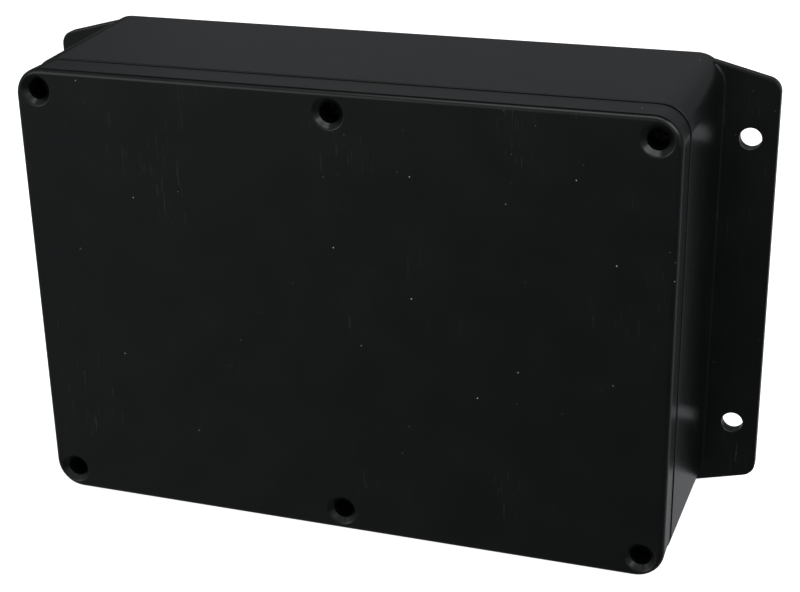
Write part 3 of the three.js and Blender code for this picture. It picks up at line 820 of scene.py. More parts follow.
def make_gasket():
    """The cord gasket in the lid's groove, round on its open side."""
    low, high = bench_box("lid_gasket")
    width = 1.3
    thick = high[2] - low[2]
    path = rectangle(high[0] - width / 2, high[1] - width / 2, 5.7, steps=14)
    height = (low[2] + high[2]) / 2
    half_width, half_height = width / 2, thick / 2
    section = rectangle(half_height, half_width, 0.55, steps=5)
    ring = tube([(x, y, height) for x, y in path], 0, closed=True, section=section)
    make_piece("gasket_cord", ring, "seal_rubber", "lid", ("lid_gasket",))


def cross_recess(reach, depth, top):
    """Two crossed blades that narrow downwards, as a cross-head driver leaves."""
    wide, deep = reach * 0.24, 0.45
    return [
        stack([(rectangle(x * deep, y * 0.7), top - depth), (rectangle(x, y), top + 0.05)])
        for x, y in ((reach, wide), (wide, reach))
    ]


def make_screw(name, node, body, finish, head, shank_radius, pitch):
    """A cheese-head machine screw with a rounded rim, a cross recess and a real helical thread."""
    low, high = bench_box(node)
    x, y, _ = middle_of(node)
    radius, height = head
    under = high[2] - height
    profile = [
        (0, under), (radius * 0.98, under), (radius, under + height * 0.62),
        (radius * 0.84, high[2]), (0, high[2]),
    ]
    cap = lathe(rounded_outline(profile, [0, 0.08, radius * 0.14, radius * 0.12, 0], 3), FASTENER_STEPS)
    piece = make_piece(name, [moved(cap, x, y)], finish, body, (node,))
    recess = cross_recess(radius * 0.6, height * 0.62, high[2])
    cut(piece, [spun(blade, 18 * (int(node[-1]) - 1), x, y) for blade in recess])
    tip = low[2]
    shank = thread(shank_radius, tip + 0.35, under + 0.05, pitch, steps=24, rows=5)
    point = lathe([(0, tip), (shank_radius - pitch * 0.62, tip), (shank_radius - pitch * 0.5, tip + 0.4),
                   (0, tip + 0.4)], 24)
    make_piece(name + "_thread", [moved(shank, x, y), moved(point, x, y)], finish, body)


def make_lid_screws():
    for i in range(1, 7):
        node = f"lid_screw_{i}"
        make_screw(f"cover_screw_{i}", node, node, "black_steel", (2.45, 1.7), 1.5, 0.5)


# ------------------------------------------------------------------ ports in the left wall
# A port's shapes are drawn with Z pointing out of the wall, as a distance from the case's middle.

OUT_OF_WALL = Matrix.Rotation(math.radians(-90), 3, "Y")
JACK_THREAD = {"radius": 3.175, "pitch": 0.7056, "bore": 2.4}


def at_port(shape, node):
    _, y, z = middle_of(node)
    return moved(shape, 0, y, z, OUT_OF_WALL)


def reach_of(node):
    """How far in and out a port's node lies, as distances from the case's middle."""
    low, high = bench_box(node)
    return -high[0], -low[0]


def polar_outline(radius_at, steps=72):
    return [
        (radius_at(math.tau * i / steps) * math.cos(math.tau * i / steps),
         radius_at(math.tau * i / steps) * math.sin(math.tau * i / steps))
        for i in range(steps)
    ]


def closed_stack(levels):
    """A ring-shaped solid through outlines with equal point counts; its last level joins its first."""
    count = len(levels[0][0])
    points = [(x, y, z) for outline, z in levels for x, y in outline]
    faces = []
    for level in range(len(levels)):
        faces += band(level * count, ((level + 1) % len(levels)) * count, count)
    return points, faces


def hexagon_radius(across_flats, turn, limit):
    slice_angle = (turn + math.pi / 6) % (math.pi / 3) - math.pi / 6
    return min(across_flats / 2 / math.cos(slice_angle), limit)


def hex_nut(across_flats, bore, low, high):
    """A hexagon nut whose corners are chamfered to a circle on both faces."""
    corner = across_flats / math.sqrt(3)
    flat = across_flats / 2 * 0.95

    def level(limit, z):
        return polar_outline(lambda turn: hexagon_radius(across_flats, turn, limit)), z

    chamfer = (corner - flat) * 0.55
    lead = 0.3
    return closed_stack([
        level(flat, low), level(corner * 0.975, low + chamfer * 0.8), level(corner, low + chamfer * 1.2),
        level(corner, high - chamfer * 1.2), level(corner * 0.975, high - chamfer * 0.8), level(flat, high),
        (polar_outline(lambda turn: bore + lead), high), (polar_outline(lambda turn: bore), high - lead),
        (polar_outline(lambda turn: bore), low + lead), (polar_outline(lambda turn: bore + lead), low),
    ])


def toothed_washer(outer, inner, low, high, teeth=12):
    """A flat lock washer with inner teeth."""
    steps = teeth * 8

    def inside(turn):
        phase = (turn / math.tau * teeth) % 1.0
        return inner if 0.18 < phase < 0.72 else inner + (outer - inner) * 0.48

    return plate(circle(outer, steps=steps), [polar_outline(inside, steps)], low, high)


def make_antenna_jack(side):
    body_node = f"{side}_jack_body"
    tail, tip = reach_of(body_node)
    flange = {"radius": 5.0, "inner": 79.2, "outer": 81.4}
    radius, pitch, bore = JACK_THREAD.values()
    collar = turned([(bore, tip - 1.3), (radius - 0.42, tip - 1.3), (radius - 0.3, tip - 0.5),
                     (radius - 0.62, tip), (bore + 0.1, tip)], 0.1, 36)
    barrel = thread(radius, flange["outer"] - 0.1, tip - 0.6, pitch, bore=bore, steps=36, rows=6)
    rim = turned([(1.1, flange["inner"]), (flange["radius"], flange["inner"]),
                  (flange["radius"], flange["outer"]), (1.1, flange["outer"])], 0.25, 48)
    solder_cup = turned([(1.1, tail), (2.6, tail), (2.9, tail + 0.4), (2.9, tail + 1.6), (2.65, tail + 1.8),
                         (2.65, tail + 2.1), (2.9, tail + 2.3), (2.9, flange["inner"] + 0.1),
                         (1.1, flange["inner"] + 0.1)], 0.1, 40)
    shapes = [at_port(shape, body_node) for shape in (collar, barrel, rim, solder_cup)]
    make_piece(f"{side}_jack_shell", shapes, "gold_plate", stands_for=(body_node,))

    node = f"{side}_jack_insulator"
    low, high = reach_of(node)
    core = turned([(1.05, low), (2.08, low), (2.08, high), (1.05, high)], 0.18, 36)
    make_piece(f"{side}_jack_core", [at_port(core, node)], "ptfe", stands_for=(node,))

    node = f"{side}_jack_contact"
    low, high = reach_of(node)
    pin = turned([(0, low), (0.62, low), (0.75, low + 0.3), (0.75, high - 0.15), (0.66, high), (0.42, high),
                  (0.38, high - 0.3), (0.38, high - 3.2), (0, high - 3.4)], 0.06, 24)
    contact = make_piece(f"{side}_jack_socket", [at_port(pin, node)], "gold_plate", stands_for=(node,))
    slot_ends = (high - 2.6, high + 0.5)
    slots = [block(-1, 1, -0.09, 0.09, *slot_ends), block(-0.09, 0.09, -1, 1, *slot_ends)]
    cut(contact, [at_port(slot, node) for slot in slots])

    node = f"{side}_jack_washer"
    low, high = reach_of(node)
    washer = toothed_washer(4.95, 3.35, low, high)
    make_piece(f"{side}_lock_washer", [at_port(washer, node)], "nickel_plate", stands_for=(node,), bevel=0.06)

    node = f"{side}_jack_nut"
    low, high = reach_of(node)
    turn = 11 if side == "outdoor" else -7
    nut = spun(hex_nut(8, 3.3, low, high), turn)
    make_piece(f"{side}_hex_nut", [at_port(nut, node)], "gold_plate", stands_for=(node,), bevel=0.05)

    node = f"{side}_jack_seal"
    low, high = reach_of(node)
    cord = (high - low) / 2
    middle = (low + high) / 2
    section = [(4.1 + r, middle + z) for r, z in circle(cord, steps=14)]
    make_piece(f"{side}_o_ring", [at_port(lathe(section, 48), node)], "seal_rubber", stands_for=(node,))


def make_power_jack():
    node = "power_jack_body"
    tail, tip = reach_of(node)
    flange = tip - 1.8
    socket = turned([
        (0, tail), (3.7, tail), (3.7, flange), (5.5, flange), (5.5, tip - 0.4), (5.1, tip),
        (3.25, tip), (2.8, tip - 0.45), (2.8, 79.0), (0, 79.0),
    ], 0.18, 48)
    screw_thread = thread(4.0, tail + 0.6, 82.9, 1.0, depth=0.4, steps=36, rows=6)
    make_piece("power_socket", [at_port(shape, node) for shape in (socket, screw_thread)],
               "black_plastic", stands_for=(node,))
    spring = block(2.15, 2.45, -0.9, 0.9, 79.1, tip - 2.6)
    fold = block(1.75, 2.45, -0.9, 0.9, tip - 2.9, tip - 2.6)
    make_piece("power_contact_spring", [at_port(shape, node) for shape in (spring, fold)],
               "nickel_plate", bevel=0.08)

    node = "power_jack_pin"
    low, high = reach_of(node)
    pin = turned([(0, low), (1.05, low), (1.05, high - 0.6), (0.7, high), (0, high)], 0.12, 28)
    make_piece("power_centre_pin", [at_port(pin, node)], "nickel_plate", stands_for=(node,))

    node = "power_jack_nut"
    low, high = reach_of(node)
    nut = spun(hex_nut(11, 4.1, low, high), 4)
    make_piece("power_hex_nut", [at_port(nut, node)], "nickel_plate", stands_for=(node,), bevel=0.06)

    lugs = []
    z = middle_of("power_jack_body")[2]
    for lead in ("red_power_lead", "black_power_lead"):
        lug_y = bench_box(lead)[1][1] - 0.8
        lugs.append(soft_box(-tail - 0.2, -tail + 1.3, lug_y - 0.95, lug_y + 0.95, z - 0.2, z + 0.2, 0.08))
        lugs.append(soft_box(-tail - 0.1, -tail + 0.5, lug_y - 1.0, lug_y + 1.0, z - 1.0, z + 1.0, 0.45))
    make_piece("power_solder_joints", lugs, "solder")


def make_status_light():
    node = "status_light_pipe"
    low, high = bench_box(node)
    y, height = (low[1] + high[1]) / 2, high[2] - 1.5
    radius = 1.48
    chip_x = middle_of("status_light_chip")[0]
    bend = 9.0
    turn_x = chip_x - bend
    arc = [(turn_x + bend * math.sin(turn), y, height - bend * (1 - math.cos(turn)))
           for turn in (math.pi / 2 * i / 16 for i in range(17))]
    route = [(low[0] + 1.0, y, height), *arc, (chip_x, y, low[2])]
    pipe = tube(route, radius, 24)
    dome = [(radius * math.cos(turn), 1.0 * math.sin(turn)) for turn in
            (math.pi / 2 * i / 8 for i in range(9))]
    lens = lathe([(0, -0.6), (radius, -0.6), *dome[:-1], (0, 1.0)], 24)
    lens = moved(moved(lens, z=-low[0] - 1.0), 0, y, height, OUT_OF_WALL)
    make_piece("status_light_guide", [pipe, lens], "clear_plastic", stands_for=(node,))

    node = "status_light_chip"
    low, high = bench_box(node)
    x, y, _ = middle_of(node)
    base = soft_box(low[0] + 0.35, high[0] - 0.35, low[1], high[1], low[2], low[2] + 0.6, 0.08)
    glow = crowned(lambda inset: circle(1.0 - inset, x, y, 20), low[2] + 0.5, high[2], 0.35, 4)
    make_piece("status_light_emitter", [glow], "light_chip", stands_for=(node,))
    make_piece("status_light_base", [base], "cream_plastic")
    ends = []
    for side in (-1, 1):
        end_x = x + side * 1.3
        ends.append(soft_box(end_x - 0.3, end_x + 0.3, low[1] + 0.2, high[1] - 0.2,
                             low[2], low[2] + 0.45, 0.1))
    make_piece("status_light_joints", ends, "solder")


# ------------------------------------------------------------------ circuit board

BOARD_SCREWS = [middle_of(f"board_screw_{i}")[:2] for i in range(1, 5)]
TRACK_HEIGHT = 0.045
TRACK_LAYER = (SEAT - 0.02, SEAT + TRACK_HEIGHT)


def make_board():
    low, high = bench_box("main_board")
    outline = rectangle(high[0], high[1], 2.0, steps=6)
    holes = [circle(1.8, x, y, 28) for x, y in BOARD_SCREWS]
    make_piece("circuit_board", plate(outline, holes, low[2], high[2]), "board_green",
               stands_for=("main_board",), bevel=0.08)
    rings = []
    for x, y in BOARD_SCREWS:
        for layer in (TRACK_LAYER, (low[2] - TRACK_HEIGHT, low[2] + 0.02)):
            rings.append(plate(circle(3.3, x, y, 36), [circle(1.85, x, y, 28)], *layer))
    make_piece("mounting_rings", rings, "gold_plate")


def make_board_screws():
    for i in range(1, 5):
        make_screw(f"board_fixing_{i}", f"board_screw_{i}", "case", "nickel_plate", (2.7, 1.9), 1.3, 0.45)


def ribbon(knots, width):
    """A flat track on the board, with round joints."""
    shapes = []
    for (x0, y0), (x1, y1) in zip(knots, knots[1:]):
        length = math.hypot(x1 - x0, y1 - y0)
        bar = prism(rectangle(length / 2, width / 2), *TRACK_LAYER)
        heading = math.degrees(math.atan2(y1 - y0, x1 - x0))
        shapes.append(spun(bar, heading, (x0 + x1) / 2, (y0 + y1) / 2))
    shapes += [prism(circle(width / 2, x, y, 10), SEAT - 0.02, SEAT + TRACK_HEIGHT * 1.02) for x, y in knots]
    return shapes


def make_tracks():
    """Feed lines from port to port, a bus beside the control chip and power runs along the edge."""
    lines = []
    for side in ("outdoor", "indoor"):
        x, y, _ = middle_of(f"{side}_coax_socket")
        near_y = bench_box(f"{side}_duplexer_body")[1][1]
        lines += ribbon([(x, y), (x, near_y - 4), (x + 3, near_y - 7), (-49, near_y - 7)], 1.1)
    for y in (29, -12):
        lines += ribbon([(6, y), (10, y), (14, y - 4), (21, y - 4)], 1.1)
    for i in range(8):
        x = 7.6 + i * 0.9
        lines += ribbon([(x, -6), (x, -13 - i), (x - 3, -16 - i), (x - 3, -24)], 0.25)
        lines += ribbon([(x, 6), (x, 9 + i * 0.8), (x + 1.5, 10.5 + i * 0.8), (x + 1.5, 15)], 0.25)
    for i in range(6):
        lines += ribbon([(65.6 + i * 0.8, -36 + i), (65.6 + i * 0.8, 36 - i)], 0.3)
        lines += ribbon([(-52 + i * 9, -29.5 + i * 0.9), (12 - i * 2, -29.5 + i * 0.9)], 0.3)
        lines += ribbon([(-71.5 + i * 0.9, -32), (-71.5 + i * 0.9, -14 - i)], 0.3)
    lines += ribbon([(-54, -37), (-51, -37), (-49, -45.5), (-8, -45.5), (-3, -43)], 1.8)
    make_piece("printed_tracks", lines, "raised_track")


def via_rows():
    """Ground vias beside the shields and duplexers, and along the board's edge."""
    places = []
    for node in ("downlink_shield_cover", "uplink_shield_cover"):
        low, high = bench_box(node)
        for x in (low[0] - 1.4, high[0] + 0.9):
            places += [(x, low[1] + 1 + i * 2) for i in range(int((high[1] - low[1]) / 2))]
    places += [(side * 72.9, y) for side in (-1, 1) for y in range(-36, 37, 3)]
    places += [(x, side * 46.9) for side in (-1, 1) for x in range(-60, 61, 3)]
    return places


def make_vias():
    rings = [plate(circle(0.42, x, y, 12), [circle(0.18, x, y, 8)], *TRACK_LAYER) for x, y in via_rows()]
    make_piece("ground_vias", rings, "gold_plate")
    points = [(x, y) for x in (67.5, 70.5) for y in range(-30, 31, 12)]
    points += [(-70, y) for y in (12, 16, 32, 36)]
    pads = [crowned(lambda inset, x=x, y=y: circle(0.75 - inset, x, y, 18), SEAT - 0.01, SEAT + 0.07, 0.03, 1)
            for x, y in points]
    make_piece("test_points", pads, "gold_plate")


def two_ended(x, y, turn, length, width, height):
    """The body and the two soldered ends of one small surface part."""
    body = soft_box(-length * 0.31, length * 0.31, -width / 2, width / 2,
                    SEAT + 0.03, SEAT + height, 0.04, steps=1)
    ends = []
    for side in (-1, 1):
        inner, outer = side * length * 0.29, side * length / 2
        ends.append(soft_box(min(inner, outer), max(inner, outer), -width / 2 - 0.02, width / 2 + 0.02,
                             SEAT, SEAT + height + 0.03, 0.06, steps=1))
        fillet = side * length * 0.56
        ends.append(stack([
            (rectangle(length * 0.13, width / 2 + 0.08, x=fillet), SEAT - 0.01),
            (rectangle(length * 0.05, width / 2, x=side * length * 0.5), SEAT + height * 0.6),
        ]))
    return spun(body, turn, x, y), [spun(end, turn, x, y) for end in ends]


def small_part_places():
    """Rows and loose groups of small parts in the free parts of the board, with their turns."""
    chooser = random.Random(7)
    places = []
    for row in range(7):
        places.append((-50 + row * 8.2, -24.0 + 0.02 * row, 90))
        places.append((-48 + row * 8.2, -26.6, 0))
    for i in range(9):
        places.append((9.0 + 2.6 * (i % 3), 20 + 3.1 * (i // 3), 90))
        places.append((9.0 + 2.6 * (i % 3), -15 - 2.9 * (i // 3), 0))
    for i in range(6):
        places.append((8.6 + i * 1.7, 7.4, 90))
        places.append((8.6 + i * 1.7, -7.6, 90))
    for i in range(8):
        places.append((-67 + chooser.uniform(-1, 1), -12 - 2.2 * i * 0.5, 0 if i % 2 else 90))
        places.append((-66.5 + 1.9 * (i % 4), 31 + 2.6 * (i // 4), 90))
    for i in range(12):
        places.append((-44 + i * 8.5, 45.2, 0))
    for i in range(5):
        places.append((10.5 + chooser.choice((0, 2.4, 4.8)), 31 + i * 2.2, 0))
        places.append((6.8 + i * 2.1, -36.5, 90))
        places.append((6.8 + i * 2.1, -40.5, 90))
    return places


def make_small_parts():
    chooser = random.Random(11)
    bodies = {"ceramic_tan": [], "chip_black": [], "cream_plastic": []}
    joints = []
    for x, y, turn in small_part_places():
        kind = chooser.choice(("ceramic_tan", "ceramic_tan", "chip_black", "cream_plastic"))
        height = {"ceramic_tan": 0.55, "chip_black": 0.38, "cream_plastic": 0.6}[kind]
        body, ends = two_ended(x, y, turn, 1.6, 0.8, height)
        bodies[kind].append(body)
        joints += ends
    make_piece("small_ceramic_capacitors", bodies["ceramic_tan"], "ceramic_tan")
    make_piece("small_resistors", bodies["chip_black"], "chip_black")
    make_piece("small_ferrite_beads", bodies["cream_plastic"], "cream_plastic")
    make_piece("small_part_joints", joints, "solder")
    crystal = [soft_box(13.2, 17.6, -30.6, -28.0, SEAT + 0.05, SEAT + 1.1, 0.25, 0.9, 3)]
    make_piece("clock_crystal_can", crystal, "tinplate")


# ------------------------------------------------------------------ chips and power parts

def gull_leg(width, reach, rise):
    """One bent leg, from the body at x = 0 out to its foot at x = reach."""
    thick = 0.16
    top = [(0.0, rise), (reach * 0.3, rise), (reach * 0.52, thick), (reach, thick)]
    outline = [*top, (reach, 0.0), (reach * 0.44, 0.0), (reach * 0.24, rise - thick), (0.0, rise - thick)]
    leg = prism(outline, -width / 2, width / 2)
    return moved(leg, turn=QUARTER_ABOUT_X)


def make_control_chip():
    high = bench_box("control_chip")[1]
    x, y, _ = middle_of("control_chip")
    half = high[0] - x
    body_half = half - 1.15
    body = soft_box(x - body_half, x + body_half, y - body_half, y + body_half,
                    SEAT + 0.45, high[2], 0.14, 0.3)
    dimple = crowned(lambda inset: circle(0.42 - inset, x - body_half + 1, y + body_half - 1, 20),
                     high[2] - 0.12, high[2] + 0.3, 0.05, 1)
    chip = make_piece("control_processor", [body], "chip_black", stands_for=("control_chip",))
    cut(chip, [dimple])
    count, pitch = 12, 0.6
    legs = []
    for quarter in range(4):
        for i in range(count):
            offset = (i - (count - 1) / 2) * pitch
            leg = moved(gull_leg(0.26, half - body_half + 0.1, 0.72), body_half - 0.1, offset, SEAT)
            legs.append(spun(leg, 90 * quarter, x, y))
    make_piece("control_processor_legs", legs, "solder")


def make_amplifiers():
    for link in ("downlink", "uplink"):
        for kind in ("power", "low_noise"):
            node = f"{link}_{kind}_amplifier"
            low, high = bench_box(node)
            x, y, _ = middle_of(node)
            half = high[0] - x
            body = soft_box(low[0], high[0], low[1], high[1], low[2] + 0.08, high[2], 0.1, 0.2)
            make_piece(f"{link}_{kind}_amplifier_body", [body], "chip_black", stands_for=(node,))
            count = 7 if kind == "power" else 4
            pads = []
            for quarter in range(4):
                for i in range(count):
                    offset = (i - (count - 1) / 2) * (half * 1.6 / count)
                    pad = soft_box(half - 0.35, half + 0.12, offset - 0.16, offset + 0.16,
                                   SEAT, SEAT + 0.25, 0.05, steps=1)
                    pads.append(spun(pad, 90 * quarter, x, y))
            make_piece(f"{link}_{kind}_amplifier_pads", pads, "solder")


def make_voltage_regulator():
    low, high = bench_box("voltage_regulator")
    x = middle_of("voltage_regulator")[0]
    body = soft_box(low[0], high[0], low[1] + 1.6, high[1] - 1.3, low[2] + 0.15, high[2], 0.3, 0.4, 3)
    make_piece("regulator_body", [body], "chip_black", stands_for=("voltage_regulator",))
    tab = soft_box(low[0] + 0.3, high[0] - 0.3, high[1] - 2.6, high[1], SEAT, SEAT + 1.27, 0.15, 0.6)
    legs = []
    for i in range(5):
        leg = gull_leg(0.8, 2.0, 2.2)
        turn = Matrix.Rotation(math.radians(-90), 3, "Z")
        legs.append(moved(leg, x + (i - 2) * 1.7, low[1] + 1.7, SEAT, turn))
    make_piece("regulator_tab_and_legs", [tab, *legs], "tinplate", bevel=0.04)


def make_capacitors():
    for i in (1, 2):
        node = f"bulk_capacitor_{i}"
        low, high = bench_box(node)
        x, y, _ = middle_of(node)
        radius = (high[0] - low[0]) / 2
        base, top = low[2], high[2]
        sleeve = turned([
            (0, base), (radius - 0.3, base), (radius, base + 0.4), (radius, base + 1.6),
            (radius - 0.4, base + 2.0), (radius, base + 2.4), (radius, top - 0.5),
            (radius - 0.5, top), (radius - 1.1, top),
            (radius - 1.15, top - 0.35), (0, top - 0.35),
        ], 0.22, 56, 3)
        make_piece(f"capacitor_{i}_sleeve", [moved(sleeve, x, y)], "capacitor_sleeve", stands_for=(node,))
        rim = radius - 1.12
        disc = turned([(0, top - 0.4), (rim, top - 0.4), (rim, top - 0.22), (0, top - 0.2)], 0.05, 48)
        lid = make_piece(f"capacitor_{i}_top", [moved(disc, x, y)], "milled_aluminium")
        vents = [spun(block(-radius * 0.55, radius * 0.55, -0.12, 0.12, top - 0.32, top), turn + 20 * i, x, y)
                 for turn in (0, 60, 120)]
        cut(lid, vents)
        width = math.radians(34)
        arc = [math.radians(200 * i) + width * (k / 10 - 0.5) for k in range(11)]
        stripe = []
        for reach, turns in ((radius + 0.02, arc), (radius - 0.1, reversed(arc))):
            stripe += [(x + reach * math.cos(turn), y + reach * math.sin(turn)) for turn in turns]
        make_piece(f"capacitor_{i}_stripe", [prism(stripe, base + 2.9, top - 0.9)], "thermal_pad")


def make_inductor():
    low, high = bench_box("power_inductor")
    x, y, _ = middle_of("power_inductor")
    half = (high[0] - low[0]) / 2

    def outline(inset):
        return rectangle(half - inset, half - inset, 1.5 - inset * 0.5, x, y, 5)

    shell = crowned(outline, low[2] + 0.2, high[2] - 0.15, 0.3, 3)
    core = make_piece("inductor_core", [shell], "ferrite", stands_for=("power_inductor",))
    cut(core, [prism(circle(4.7, x, y, 48), high[2] - 2.2, high[2] + 1)])
    drum = moved(turned([(0, low[2] + 1), (3.7, low[2] + 1), (3.7, high[2]), (0, high[2])], 0.25, 44), x, y)
    make_piece("inductor_drum", [drum], "ferrite")
    winding = []
    for i in range(3):
        radius = 4.0 + 0.24 * (i % 2)
        ring = [(radius + r, high[2] - 1.75 + i * 0.42 + z) for r, z in circle(0.22, steps=8)]
        winding.append(moved(lathe(ring, 44), x, y))
    make_piece("inductor_winding", winding, "copper_wire")
    feet = [soft_box(x + side * (half - 0.9) - 0.9, x + side * (half - 0.9) + 0.9, y - 2.6, y + 2.6,
                     SEAT, SEAT + 0.5, 0.15) for side in (-1, 1)]
    make_piece("inductor_feet", feet, "solder")


def make_power_connector():
    low, high = bench_box("power_header")
    x, y, _ = middle_of("power_header")
    shell = soft_box(*[value for pair in zip(low, high) for value in pair], 0.25, 0.4)
    header = make_piece("power_header_shell", [shell], "cream_plastic", stands_for=("power_header",))
    well = soft_box(low[0] + 0.7, high[0] - 0.7, low[1] + 0.7, high[1] - 0.7,
                    low[2] + 1.4, high[2] + 1, 0.1, 0.3)
    slot = block(x - 1.1, x + 1.1, low[1] - 1, low[1] + 2, low[2] + 3.2, high[2] + 1)
    notches = []
    for side in (-1, 1):
        notch_x = x + side * 3.1
        notches.append(block(notch_x - 0.5, notch_x + 0.5, low[1] - 1, low[1] + 2,
                             low[2] + 4.5, high[2] + 1))
    cut(header, [well])
    cut(header, [slot, *notches])

    low, high = bench_box("power_plug")
    bottom = low[2] - 4.2
    body = soft_box(low[0] + 0.25, high[0] - 0.25, low[1] + 0.1, high[1] - 0.1, bottom, high[2], 0.25, 0.4)
    rim = soft_box(low[0], high[0], low[1], high[1], low[2] + 0.25, low[2] + 1.5, 0.2, 0.35)
    latch = soft_box(x - 0.9, x + 0.9, low[1] - 0.35, low[1] + 0.4, low[2] - 2.4, high[2] - 1.2, 0.15)
    plug = make_piece("power_plug_shell", [body], "cream_plastic", stands_for=("power_plug",))
    cut(plug, [prism(circle(0.95, x + side * 1.5, y, 24), high[2] - 1.4, high[2] + 1) for side in (-1, 1)])
    make_piece("power_plug_rim", [rim, latch], "cream_plastic")

    ends_z = high[2]
    port_y, port_z = middle_of("power_jack_body")[1:]
    for name, side, finish in (("red", -1, "red_jacket"), ("black", 1, "black_jacket")):
        offset = side * 1.5
        start_y = port_y + offset
        route = smooth_route([
            (-70.3, start_y, port_z), (-68.6, start_y, port_z), (-65.5 + offset, start_y - 1.2, port_z + 1.8),
            (x + offset - 1.6, start_y - 4.2, port_z + 3.8), (x + offset, y + 0.6, port_z + 2.4),
            (x + offset, y, ends_z + 0.9), (x + offset, y, ends_z - 1.2),
        ], 8)
        make_piece(f"{name}_wire", [tube(route, 0.78, 18)], finish, stands_for=(f"{name}_power_lead",))
        sleeve = tube([(-70.3, start_y, port_z), (-68.0, start_y, port_z)], 0.98, 18)
        make_piece(f"{name}_wire_shrink_sleeve", [sleeve], "black_plastic", bevel=0.15)


# ------------------------------------------------------------------ radio parts

def make_coax(side):
    node = f"{side}_coax_socket"
    low, high = bench_box(node)
    x, y, _ = middle_of(node)
    base = soft_box(x - 2.3, x + 2.3, y - 2.3, y + 2.3, low[2] + 0.02, low[2] + 0.7, 0.12, 0.5)
    ring = moved(turned([(0, low[2] + 0.6), (1.9, low[2] + 0.6), (1.9, low[2] + 1.5), (1.5, low[2] + 1.7),
                         (1.5, high[2]), (0, high[2])], 0.12, 32), x, y)
    make_piece(f"{side}_board_socket", [base, ring], "gold_plate", stands_for=(node,))

    node = f"{side}_coax_plug"
    low, high = bench_box(node)
    axis = low[2] + 1.5
    cup_profile = [
        (0, low[2]), (2.35, low[2]), (2.6, low[2] + 0.3), (2.6, high[2] - 0.9),
        (2.35, high[2] - 0.7), (2.35, high[2] - 0.35), (2.1, high[2]), (0, high[2]),
    ]
    cup = moved(turned(cup_profile, 0.15, 40), x, y)
    arm_profile = turned([(0, 0.5), (1.5, 0.5), (1.5, 3.4), (1.25, 3.6), (1.25, 4.0), (1.5, 4.2),
                          (1.5, y - low[1]), (0, y - low[1])], 0.12, 32)
    arm = moved(arm_profile, x, y, axis, QUARTER_ABOUT_X)
    flange = soft_box(x - 1.7, x + 1.7, y - 3.2, y - 0.6, low[2] + 0.1, axis + 1.4, 0.25, 0.4)
    make_piece(f"{side}_elbow_plug", [cup, arm, flange], "gold_plate", stands_for=(node,))

    port_y, port_z = middle_of(f"{side}_jack_body")[1:]
    tail = reach_of(f"{side}_jack_body")[0]
    front = low[1]
    route = smooth_route([
        (-tail - 0.4, port_y, port_z), (-71.4, port_y, port_z), (-67.9, port_y + 0.3, port_z - 0.3),
        (-64.5, port_y + 1.4, port_z - 1.7), (-61.5, port_y + 4.0, port_z - 4.9),
        (-60.1, port_y + 6.9, axis + 1.6), (x, front - 2.2, axis + 0.1), (x, front + 0.4, axis),
    ], 8)
    make_piece(f"{side}_coax", [tube(route, 1.22, 20)], "coax_jacket", stands_for=(f"{side}_coax_lead",))
    crimp = turned([(0, 72.6), (1.6, 72.6), (1.75, 72.9), (1.75, tail - 0.5),
                    (1.95, tail - 0.3), (1.95, tail + 0.3), (0, tail + 0.3)], 0.1, 28)
    crimps = [at_port(crimp, f"{side}_jack_body")]
    ferrule = turned([(0, -0.4), (1.5, -0.4), (1.5, 1.5), (1.35, 1.8), (0, 1.8)], 0.1, 28)
    crimps.append(moved(ferrule, x, front, axis, QUARTER_ABOUT_X))
    make_piece(f"{side}_coax_crimps", crimps, "gold_plate")


def make_duplexer(side):
    """A milled cavity block with a screwed cover, tuning screws and their flat lock nuts."""
    node = f"{side}_duplexer_body"
    low, high = bench_box(node)
    block_body = soft_box(low[0], high[0], low[1], high[1], low[2], high[2], 0.25, 1.5, 3)
    make_piece(f"{side}_cavity_block", [block_body], "milled_aluminium", stands_for=(node,))
    node = f"{side}_duplexer_cover"
    low, high = bench_box(node)
    x, y, _ = middle_of(node)
    top = high[2]
    cover = soft_box(low[0], high[0], low[1], high[1], low[2] - 0.25, top, 0.2, 1.5, 3)
    sheet = make_piece(f"{side}_cavity_cover", [cover], "milled_aluminium", stands_for=(node,))
    half_x, half_y = (high[0] - low[0]) / 2, (high[1] - low[1]) / 2
    fixings = [(x + sx * offset, y + sy * (half_y - 1.9)) for sx in (-1, 1) for sy in (-1, 1)
               for offset in (9.0, half_x - 2.4)]
    fixings += [(x + sx * (half_x - 2.4), y) for sx in (-1, 1)]
    fixings += [(x, y + sy * (half_y - 1.9)) for sy in (-1, 1)]
    sinks = [moved(lathe([(0, top - 0.9), (0.9, top - 0.9), (1.75, top + 0.05), (0, top + 0.05)], 28), fx, fy)
             for fx, fy in fixings]
    cut(sheet, sinks)
    head = turned([(0, top - 0.85), (0.85, top - 0.85), (1.62, top - 0.05), (0, top - 0.02)], 0.05, 28)
    heads = [moved(head, fx, fy) for fx, fy in fixings]
    screws = make_piece(f"{side}_cover_screws", heads, "nickel_plate")
    blades = []
    for i, (fx, fy) in enumerate(fixings):
        blades += [spun(blade, 37 * i, fx, fy) for blade in cross_recess(0.85, 0.5, top)]
    cut(screws, blades)
    nuts, studs, slots = [], [], []
    stud = turned([(0, top - 0.2), (1.52, top - 0.2), (1.52, top + 0.98), (0, top + 0.98)], 0.15, 28)
    for i, sx in enumerate((-18, 0, 18)):
        for k, sy in enumerate((-7, 7)):
            turn = 29 * (2 * i + k)
            px, py = x + sx * 0.92, y + sy * 0.72
            nuts.append(spun(hex_nut(4.5, 1.5, top, top + 0.85), turn, px, py))
            studs.append(moved(stud, px, py))
            slots.append(spun(block(-2, 2, -0.2, 0.2, top + 0.45, top + 1.2), turn + 50, px, py))
    make_piece(f"{side}_tuning_nuts", nuts, "nickel_plate", bevel=0.05)
    cut(make_piece(f"{side}_tuning_screws", studs, "gold_plate"), slots)


